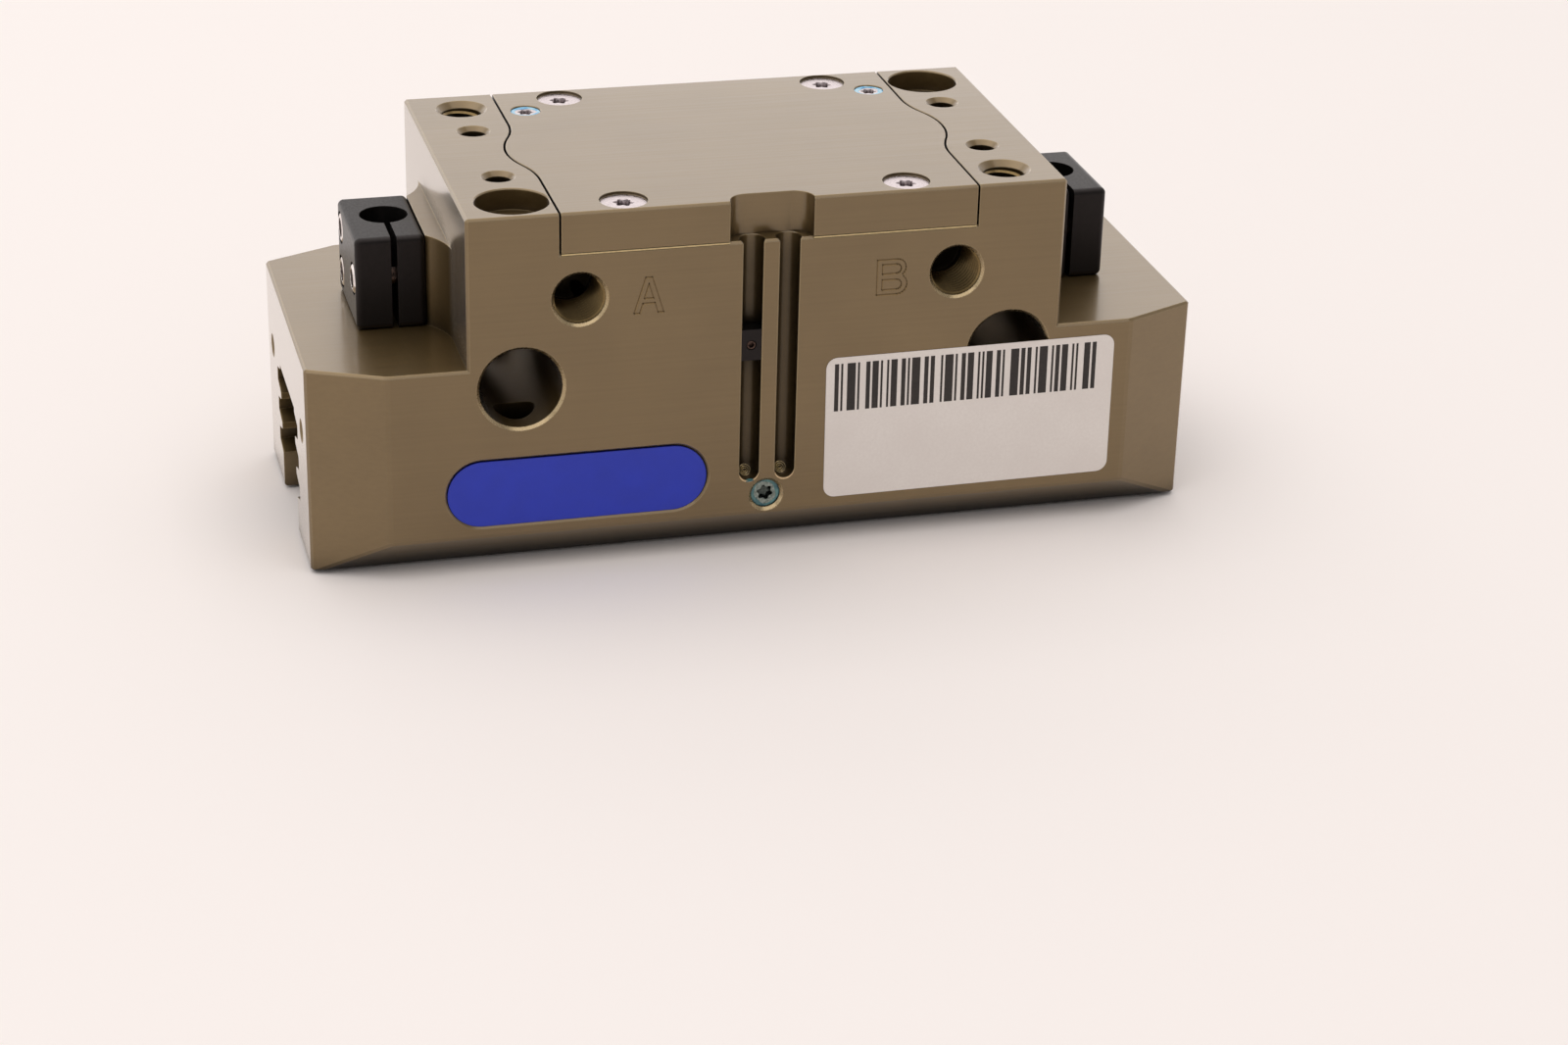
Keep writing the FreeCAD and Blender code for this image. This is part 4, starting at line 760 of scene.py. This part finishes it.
bm = bmesh.new()
for name in ("port_a", "port_b"):
    port = mounts[name]
    mouth_highlight_cone(bm, port["pos_m"][0], port["pos_m"][2], port["dims"]["r_mm"] * MM, PORT_MOUTH)
for place in pattern_places(mounts["side_bolts"]):
    mouth_highlight_cone(bm, place.x, place.z, SIDE_BORE_RADIUS, HOLE_MOUTH)
mouth_highlight_cone(bm, purge_top.x, purge_top.z, PLUG_RADIUS, HOLE_MOUTH)
mouth_highlight_metal = lined_metal("mouth_highlight_metal", MOUTH_HIGHLIGHT, MOUTH_HIGHLIGHT_DARK, METAL_SPECK, 1.0, 0.28, 0.06)
make_piece("mouth_highlight_cones", bm, mouth_highlight_metal, "housing")

# Switch stop: a short bar of black anodised aluminium in the left sensor slot, held by a tiny set screw.
# Switch brackets: blocks of the same finish, filed round at the edges, one on each shoulder.
# The oxide is a deep satin black, a little worn at the edges, with a grey sheen at flat angles.
BLACK_OXIDE = "#080807"
BLACK_OXIDE_WORN = "#171514"
BLACK_SHEEN = "#FFEEEC"
BLACK_GRAIN = 0.45 * MM
BLACK_CLOUD = 4 * MM
BLACK_EDGE = 0.15 * MM


def black_anodised_aluminium():
    finish, tree, place = new_finish("black_anodised_aluminium")
    grain = add(tree, "ShaderNodeTexNoise", {"Vector": place, "Scale": 1 / BLACK_GRAIN, "Detail": 3.0})
    cloud = add(tree, "ShaderNodeTexNoise", {"Vector": place, "Scale": 1 / BLACK_CLOUD, "Detail": 3.0})
    rounded = add(tree, "ShaderNodeBevel", {"Radius": BLACK_EDGE}, samples=4)
    true_normal = add(tree, "ShaderNodeNewGeometry", {}).outputs["Normal"]
    lean = add(tree, "ShaderNodeVectorMath", {0: rounded.outputs["Normal"], 1: true_normal},
               operation="DOT_PRODUCT")
    edge = add(tree, "ShaderNodeMapRange",
               {"Value": lean.outputs["Value"], "From Min": 0.995, "From Max": 0.8, "To Max": 0.2})
    patch = add(tree, "ShaderNodeMapRange",
                {"Value": cloud.outputs["Fac"], "From Min": 0.4, "From Max": 0.8, "To Max": 0.35})
    wear = add(tree, "ShaderNodeMath",
               {0: edge.outputs["Result"], 1: patch.outputs["Result"]}, operation="ADD")
    tone = add(tree, "ShaderNodeMix",
               {0: wear.outputs["Value"], 6: linear(BLACK_OXIDE), 7: linear(BLACK_OXIDE_WORN)},
               data_type="RGBA")
    gloss = add(tree, "ShaderNodeMapRange", {"Value": grain.outputs["Fac"], "From Min": 0.3, "From Max": 0.7,
                                             "To Min": 0.38, "To Max": 0.5})
    facing = add(tree, "ShaderNodeLayerWeight", {"Blend": 0.5}).outputs["Facing"]
    glare = add(tree, "ShaderNodeMapRange",
                {"Value": facing, "From Min": 0.66, "From Max": 0.732, "To Max": 0.45})
    relief = add(tree, "ShaderNodeBump", {"Height": grain.outputs["Fac"], "Normal": rounded.outputs["Normal"],
                                          "Strength": 0.15, "Distance": 0.03 * MM})
    surface = add(tree, "ShaderNodeBsdfPrincipled", {
        "Base Color": tone.outputs[2], "Roughness": gloss.outputs["Result"],
        "Normal": relief.outputs["Normal"], "Metallic": 0.0, "IOR": 1.36,
        "Specular Tint": linear(BLACK_SHEEN), "Coat Weight": glare.outputs["Result"], "Coat Roughness": 0.35,
        "Coat IOR": 1.5})
    add(tree, "ShaderNodeOutputMaterial", {"Surface": surface.outputs["BSDF"]})
    return finish


black_oxide = black_anodised_aluminium()
dress(black_oxide, "switch_stop", "left_switch_bracket", "right_switch_bracket")

# Screws of the brackets, the cams, the piston and the jaw-side cover, and that cover itself: zinc-plated
# steel like the cover screws. The clamp screws and the stop's set screw are burnished steel, almost black.
BURNISHED = "#5C4A42"
BURNISHED_DARK = "#332A27"
BURNISHED_PATCH = 0.5 * MM
dress(zinc_plate, "left_bracket_screws", "right_bracket_screws", "left_cam_screw", "right_cam_screw",
      "piston_bolt", "jaw_side_cover", "jaw_side_cover_screws")
dress(lined_metal("burnished_steel", BURNISHED, BURNISHED_DARK, BURNISHED_PATCH, 1.0, 0.3, 0.08),
      "switch_stop_screw", "left_clamp_screw", "right_clamp_screw")

# Rounded crowns of the bracket screws and clamp screws: steel, pressed up round the sockets and zinc plated.
# Their zinc is drawn paler than on the flats and less darkened by painted shade: a painted highlight,
# so they show as thin bright rings.
CROWN_RADIUS = 2.4 * MM
CROWN_FOOT = 0.05 * MM       # crown let into the solid of its screw
CROWN_SOCKET = 1.65 * MM
CLAMP_CROWN = 0.22 * MM      # crown in front of the bracket's face
SCREW_CROWN = 0.04 * MM
SCREW_SINK = 0.6 * MM        # flat of the screw behind that face
CROWN_HIGHLIGHT_ZINC = "#EFE9E6"
CROWN_HIGHLIGHT_ZINC_DULL = "#DDD5D2"

bm = bmesh.new()
for side, name in ((-1, "left"), (1, "right")):
    low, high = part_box(name + "_bracket_screws")
    clamp_low, clamp_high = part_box(name + "_clamp_screw")
    head = high.x if side > 0 else low.x
    radius = (high.y - low.y) / 2
    middle_y = (low.y + high.y) / 2
    places = [(middle_y, low.z + radius, SCREW_CROWN), (middle_y, high.z - radius, SCREW_CROWN),
              ((clamp_low.y + clamp_high.y) / 2, (clamp_low.z + clamp_high.z) / 2, CLAMP_CROWN)]
    for y, z, rise in places:
        turned_rings(bm, (head, y, z), (-side, 0, 0), [
            (CROWN_RADIUS, CROWN_FOOT),
            (CROWN_RADIUS, -SCREW_SINK * 0.8),
            (CROWN_RADIUS * 0.88, -SCREW_SINK - rise * 0.5),
            (CROWN_SOCKET * 1.04, -SCREW_SINK - rise),
            (CROWN_SOCKET, -SCREW_SINK - rise * 0.9),
            (CROWN_SOCKET, CROWN_FOOT),
        ], closed=True)
# Painted highlight: the paler zinc of the crowns
crown_highlight_zinc = plated_zinc("crown_highlight_zinc_plate", CROWN_HIGHLIGHT_ZINC, CROWN_HIGHLIGHT_ZINC_DULL, 0.16, 0.3)
make_piece("bracket_screw_crowns", bm, crown_highlight_zinc, "housing")

# Nameplate: a thin film with half-round ends, printed blue all over and glued into a shallow pocket.
# It is smooth and half glossy, with a faint cloud in its blue, and carries no lettering.
PLATE_LENGTH = 43.3 * MM
PLATE_HEIGHT = 11.5 * MM
PLATE_X = -31.9 * MM
PLATE_DEPTH = 47.87 * MM     # top face to the middle of the plate
PLATE_FACE = 0.35 * MM       # face of the plate behind the front of the housing
PLATE_THICKNESS = 0.4 * MM
PLATE_BLUE = "#1431BD"
PLATE_BLUE_DEEP = "#0F28A4"
FILM_CLOUD = 5 * MM
FILM_PEEL = 0.8 * MM


def printed_film():
    finish, tree, place = new_finish("printed_blue_film")
    cloud = add(tree, "ShaderNodeTexNoise", {"Vector": place, "Scale": 1 / FILM_CLOUD, "Detail": 3.0})
    peel = add(tree, "ShaderNodeTexNoise", {"Vector": place, "Scale": 1 / FILM_PEEL, "Detail": 1.0})
    tone = add(tree, "ShaderNodeMix",
               {0: cloud.outputs["Fac"], 6: linear(PLATE_BLUE_DEEP), 7: linear(PLATE_BLUE)}, data_type="RGBA")
    relief = add(tree, "ShaderNodeBump",
                 {"Height": peel.outputs["Fac"], "Strength": 0.06, "Distance": 0.05 * MM})
    surface = add(tree, "ShaderNodeBsdfPrincipled", {
        "Base Color": tone.outputs[2], "Normal": relief.outputs["Normal"], "Roughness": 0.35, "IOR": 1.5})
    add(tree, "ShaderNodeOutputMaterial", {"Surface": surface.outputs["BSDF"]})
    return finish


def stadium_outline(length, height, steps=20):
    """Corner points of an oval with half-round ends, about its middle."""
    radius = height / 2
    reach = length / 2 - radius
    points = []
    for side in (1, -1):
        for k in range(steps + 1):
            angle = math.radians(-90 + 180 * k / steps) + (0 if side > 0 else math.pi)
            points.append(Vector((side * reach + radius * math.cos(angle), radius * math.sin(angle))))
    return points


def sheet_faces(bm, outline, middle, face_y, thickness, turn=0.0):
    """A flat closed sheet that faces -Y, turned about its middle."""
    cos, sin = math.cos(turn), math.sin(turn)
    placed = [(middle.x + p.x * cos - p.y * sin, middle.y + p.x * sin + p.y * cos) for p in outline]
    front = [bm.verts.new((x, face_y, z)) for x, z in placed]
    back = [bm.verts.new((x, face_y + thickness, z)) for x, z in placed]
    for k in range(len(placed)):
        bm.faces.new((front[k - 1], front[k], back[k], back[k - 1]))
    bm.faces.new(reversed(back))
    bm.faces.new(front)


plate_middle = Vector((PLATE_X, housing_high.z - PLATE_DEPTH))
bm = bmesh.new()
sheet_faces(bm, stadium_outline(PLATE_LENGTH, PLATE_HEIGHT), plate_middle, housing_low.y + PLATE_FACE,
            PLATE_THICKNESS)
make_piece("nameplate", bm, printed_film(), "housing")

# Stock sticker: white coated paper, stuck on a little crooked over the lower part of the right side hole.
# The coating is half matt, with a faint fibre under it.
STICKER_LENGTH = 50.3 * MM
STICKER_HEIGHT = 25.2 * MM
STICKER_CORNER = 1.9 * MM
STICKER_X = 35.0 * MM
STICKER_DEPTH = 40.95 * MM
STICKER_TURN = math.radians(0.4)
STICKER_THICKNESS = 0.12 * MM
STICKER_GLUE = 0.01 * MM     # gap between the paper and the housing
PAPER = "#E6DFD9"
PAPER_SHADE = "#E0D8D2"
PAPER_FIBRE = 0.5 * MM
PAPER_CLOUD = 9 * MM


def coated_paper(name, light, dark):
    finish, tree, place = new_finish(name)
    fibre = add(tree, "ShaderNodeTexNoise", {"Vector": place, "Scale": 1 / PAPER_FIBRE, "Detail": 4.0})
    cloud = add(tree, "ShaderNodeTexNoise", {"Vector": place, "Scale": 1 / PAPER_CLOUD, "Detail": 2.0})
    both = add(tree, "ShaderNodeMath",
               {0: fibre.outputs["Fac"], 1: cloud.outputs["Fac"]}, operation="MULTIPLY")
    share = add(tree, "ShaderNodeMapRange",
                {"Value": both.outputs["Value"], "From Min": 0.12, "From Max": 0.4})
    tone = add(tree, "ShaderNodeMix", {0: share.outputs["Result"], 6: linear(dark), 7: linear(light)},
               data_type="RGBA")
    relief = add(tree, "ShaderNodeBump",
                 {"Height": fibre.outputs["Fac"], "Strength": 0.1, "Distance": TOOL_RELIEF})
    surface = add(tree, "ShaderNodeBsdfPrincipled", {
        "Base Color": tone.outputs[2], "Normal": relief.outputs["Normal"], "Roughness": 0.55, "IOR": 1.5})
    add(tree, "ShaderNodeOutputMaterial", {"Surface": surface.outputs["BSDF"]})
    return finish


def rounded_outline(length, height, corner, steps=8):
    """Corner points of a rectangle with rounded corners, about its middle."""
    points = []
    for k, (sx, sy) in enumerate(((1, -1), (1, 1), (-1, 1), (-1, -1))):
        centre = Vector((sx * (length / 2 - corner), sy * (height / 2 - corner)))
        for step in range(steps + 1):
            angle = math.radians(-90 + 90 * k + 90 * step / steps)
            points.append(centre + Vector((math.cos(angle), math.sin(angle))) * corner)
    return points


sticker_middle = Vector((STICKER_X, housing_high.z - STICKER_DEPTH))
bm = bmesh.new()
sheet_faces(bm, rounded_outline(STICKER_LENGTH, STICKER_HEIGHT, STICKER_CORNER), sticker_middle,
            housing_low.y - STICKER_THICKNESS, STICKER_THICKNESS - STICKER_GLUE, STICKER_TURN)
make_piece("stock_sticker", bm, coated_paper("coated_paper", PAPER, PAPER_SHADE), "housing")

# Bars on the sticker: a row of plain bars of black ink, printed along its upper part in a pattern of its own.
# The ink is thin, so the paper's fibre shows in it.
INK = "#1E1816"
INK_THIN = "#2C2420"
BAR_ROW_LENGTH = 46.4 * MM
BAR_HEIGHT = 8.5 * MM
BAR_ROW_RISE = 7.25 * MM     # middle of the sticker to the middle of the bars
BAR_ROW_SHIFT = -0.5 * MM    # middle of the sticker to the middle of the row
BAR_UNIT = 0.36 * MM
BAR_WIDTHS = (2, 1, 4, 1, 2, 3, 1, 1, 3, 2, 1, 4, 2)
BAR_GAPS = (1, 2, 1, 3, 1, 1, 2, 1, 2, 1)
INK_THICKNESS = 0.015 * MM
INK_BITE = 1.5               # the bars reach this much of their thickness down, into the paper

bm = bmesh.new()
reach = BAR_ROW_SHIFT - BAR_ROW_LENGTH / 2
count = 0
while True:
    width = BAR_WIDTHS[count % len(BAR_WIDTHS)] * BAR_UNIT
    if reach + width > BAR_ROW_SHIFT + BAR_ROW_LENGTH / 2:
        break
    bar = [Vector((reach + sx * width, BAR_ROW_RISE + sy * BAR_HEIGHT / 2))
           for sx, sy in ((0, -1), (1, -1), (1, 1), (0, 1))]
    sheet_faces(bm, bar, sticker_middle, housing_low.y - STICKER_THICKNESS - INK_THICKNESS,
                INK_THICKNESS * INK_BITE, STICKER_TURN)
    reach += width + BAR_GAPS[count % len(BAR_GAPS)] * BAR_UNIT
    count += 1
make_piece("sticker_bars", bm, coated_paper("printing_ink", INK_THIN, INK), "housing")

# Floor: a wide sheet of pale matt paper under the gripper, which stands on its finger faces.
# Far from the gripper the paper fades into the pale backdrop of the studio.
FLOOR_PAPER = "#FAF4F1"
FLOOR_PAPER_SHADE = "#F9F3F0"
FLOOR_CLOUD = 0.25           # metres
FLOOR_HALF = 3.0
FLOOR_FADE_START = 0.35      # the paper turns up into the backdrop from here
FLOOR_FADE_END = 1.0
STUDIO_WHITE = "#FFFBF9"


def matt_paper():
    finish, tree, place = new_finish("matt_floor_paper")
    cloud = add(tree, "ShaderNodeTexNoise", {"Vector": place, "Scale": 1 / FLOOR_CLOUD, "Detail": 2.0})
    tone = add(tree, "ShaderNodeMix",
               {0: cloud.outputs["Fac"], 6: linear(FLOOR_PAPER_SHADE), 7: linear(FLOOR_PAPER)},
               data_type="RGBA")
    surface = add(tree, "ShaderNodeBsdfPrincipled", {
        "Base Color": tone.outputs[2], "Roughness": 0.9, "Specular IOR Level": 0.1})
    path = add(tree, "ShaderNodeLightPath", {})
    mirrored = add(tree, "ShaderNodeMath",
                   {0: path.outputs["Is Glossy Ray"], 1: path.outputs["Is Transmission Ray"]},
                   operation="MAXIMUM")
    seen = add(tree, "ShaderNodeMath", {0: path.outputs["Is Camera Ray"], 1: mirrored.outputs["Value"]},
               operation="MAXIMUM")
    reach = add(tree, "ShaderNodeVectorMath", {0: place}, operation="LENGTH")
    far = add(tree, "ShaderNodeMapRange", {"Value": reach.outputs["Value"], "From Min": FLOOR_FADE_START,
                                           "From Max": FLOOR_FADE_END})
    share = add(tree, "ShaderNodeMath",
                {0: far.outputs["Result"], 1: seen.outputs["Value"]}, operation="MULTIPLY")
    backdrop = add(tree, "ShaderNodeEmission", {"Color": linear(STUDIO_WHITE), "Strength": 1.0})
    faded = add(tree, "ShaderNodeMixShader",
                {0: share.outputs["Value"], 1: surface.outputs["BSDF"], 2: backdrop.outputs["Emission"]})
    add(tree, "ShaderNodeOutputMaterial", {"Surface": faded.outputs["Shader"]})
    return finish


floor_mesh = bpy.data.meshes.new("floor")
floor_mesh.from_pydata([(x * FLOOR_HALF, y * FLOOR_HALF, 0) for x, y in ((-1, -1), (1, -1), (1, 1), (-1, 1))],
                       [], [(0, 1, 2, 3)])
floor_mesh.materials.append(matt_paper())
floor = bpy.data.objects.new("floor", floor_mesh)
bpy.context.scene.collection.objects.link(floor)

# Light: a pale studio, dimmer in front, above and to the right, with one broad lamp above,
# a faint panel behind that the top faces reflect, and a low one behind on the left that the end reflects.
STUDIO_FILL = 0.55           # light of the studio on matt surfaces
STUDIO_DIM = 0.35            # what shiny ones mirror from its dimmest side
STUDIO_DIM_SIDE = (0.3, -0.8, 0.52)

world = bpy.data.worlds.new("pale_studio")
bpy.context.scene.world = world
world.use_nodes = True
tree = world.node_tree
tree.nodes.clear()
path = add(tree, "ShaderNodeLightPath", {})
heading = add(tree, "ShaderNodeTexCoord", {}).outputs["Generated"]
toward = add(tree, "ShaderNodeVectorMath", {0: heading, 1: STUDIO_DIM_SIDE}, operation="DOT_PRODUCT")
sweep = add(tree, "ShaderNodeMapRange", {"Value": toward.outputs["Value"], "From Min": 0.25, "From Max": 0.9,
                                         "To Min": 1.0, "To Max": STUDIO_DIM})
mirrored = add(tree, "ShaderNodeMath",
               {0: path.outputs["Is Glossy Ray"], 1: path.outputs["Is Transmission Ray"]},
               operation="MAXIMUM")
glow = add(tree, "ShaderNodeMix", {0: mirrored.outputs["Value"], 2: STUDIO_FILL, 3: sweep.outputs["Result"]})
level = add(tree, "ShaderNodeMix", {0: path.outputs["Is Camera Ray"], 2: glow.outputs[0], 3: 1.0})
studio = add(tree, "ShaderNodeBackground", {"Color": linear(STUDIO_WHITE), "Strength": level.outputs[0]})
add(tree, "ShaderNodeOutputWorld", {"Surface": studio.outputs["Background"]})


def lamp(name, place, aim, width, height, watts):
    """A soft panel of light, aimed at a point."""
    light = bpy.data.lights.new(name, "AREA")
    light.shape = "RECTANGLE"
    light.size = width
    light.size_y = height
    light.energy = watts
    light.color = linear(STUDIO_WHITE)[:3]
    holder = bpy.data.objects.new(name, light)
    holder.location = place
    holder.rotation_euler = (Vector(aim) - Vector(place)).to_track_quat("-Z", "Y").to_euler()
    bpy.context.scene.collection.objects.link(holder)


lamp("lamp_above", (-0.2, 0.0, 1.3), (0, 0, 0), 2.0, 2.0, 12.7)
lamp("panel_behind", (0.2, 1.5, 0.75), (0, 0, 0.05), 2.6, 1.0, 3.6)
lamp("panel_low_left", (-0.6, 0.95, 0.22), (0, 0, 0.02), 1.4, 0.44, 0.7)

# Camera: set at the angle and distance that were worked out from the picture of the real gripper.
# Its lens is long, and all of the gripper is sharp.
CAMERA_AZIMUTH = math.radians(-15.523)
CAMERA_ELEVATION = math.radians(25.571)
CAMERA_ROLL = math.radians(1.567)
CAMERA_DISTANCE = 0.6015
CAMERA_TARGET = Vector((0.011674, 0.0, -0.010834))
CAMERA_LENS = 77.45          # millimetres, on a sensor 36 mm wide
CAMERA_SENSOR = 36.0

back = Vector((math.sin(CAMERA_AZIMUTH) * math.cos(CAMERA_ELEVATION),
               -math.cos(CAMERA_AZIMUTH) * math.cos(CAMERA_ELEVATION),
               math.sin(CAMERA_ELEVATION)))
camera_data = bpy.data.cameras.new("camera")
camera_data.lens = CAMERA_LENS
camera_data.sensor_fit = "HORIZONTAL"
camera_data.sensor_width = CAMERA_SENSOR
camera = bpy.data.objects.new("camera", camera_data)
camera.location = CAMERA_TARGET + back * CAMERA_DISTANCE
turn = (-back).to_track_quat("-Z", "Y") @ Quaternion((0, 0, 1), CAMERA_ROLL)
camera.rotation_euler = turn.to_euler()
bpy.context.scene.collection.objects.link(camera)
bpy.context.scene.camera = camera
bpy.context.scene.view_settings.view_transform = "Standard"
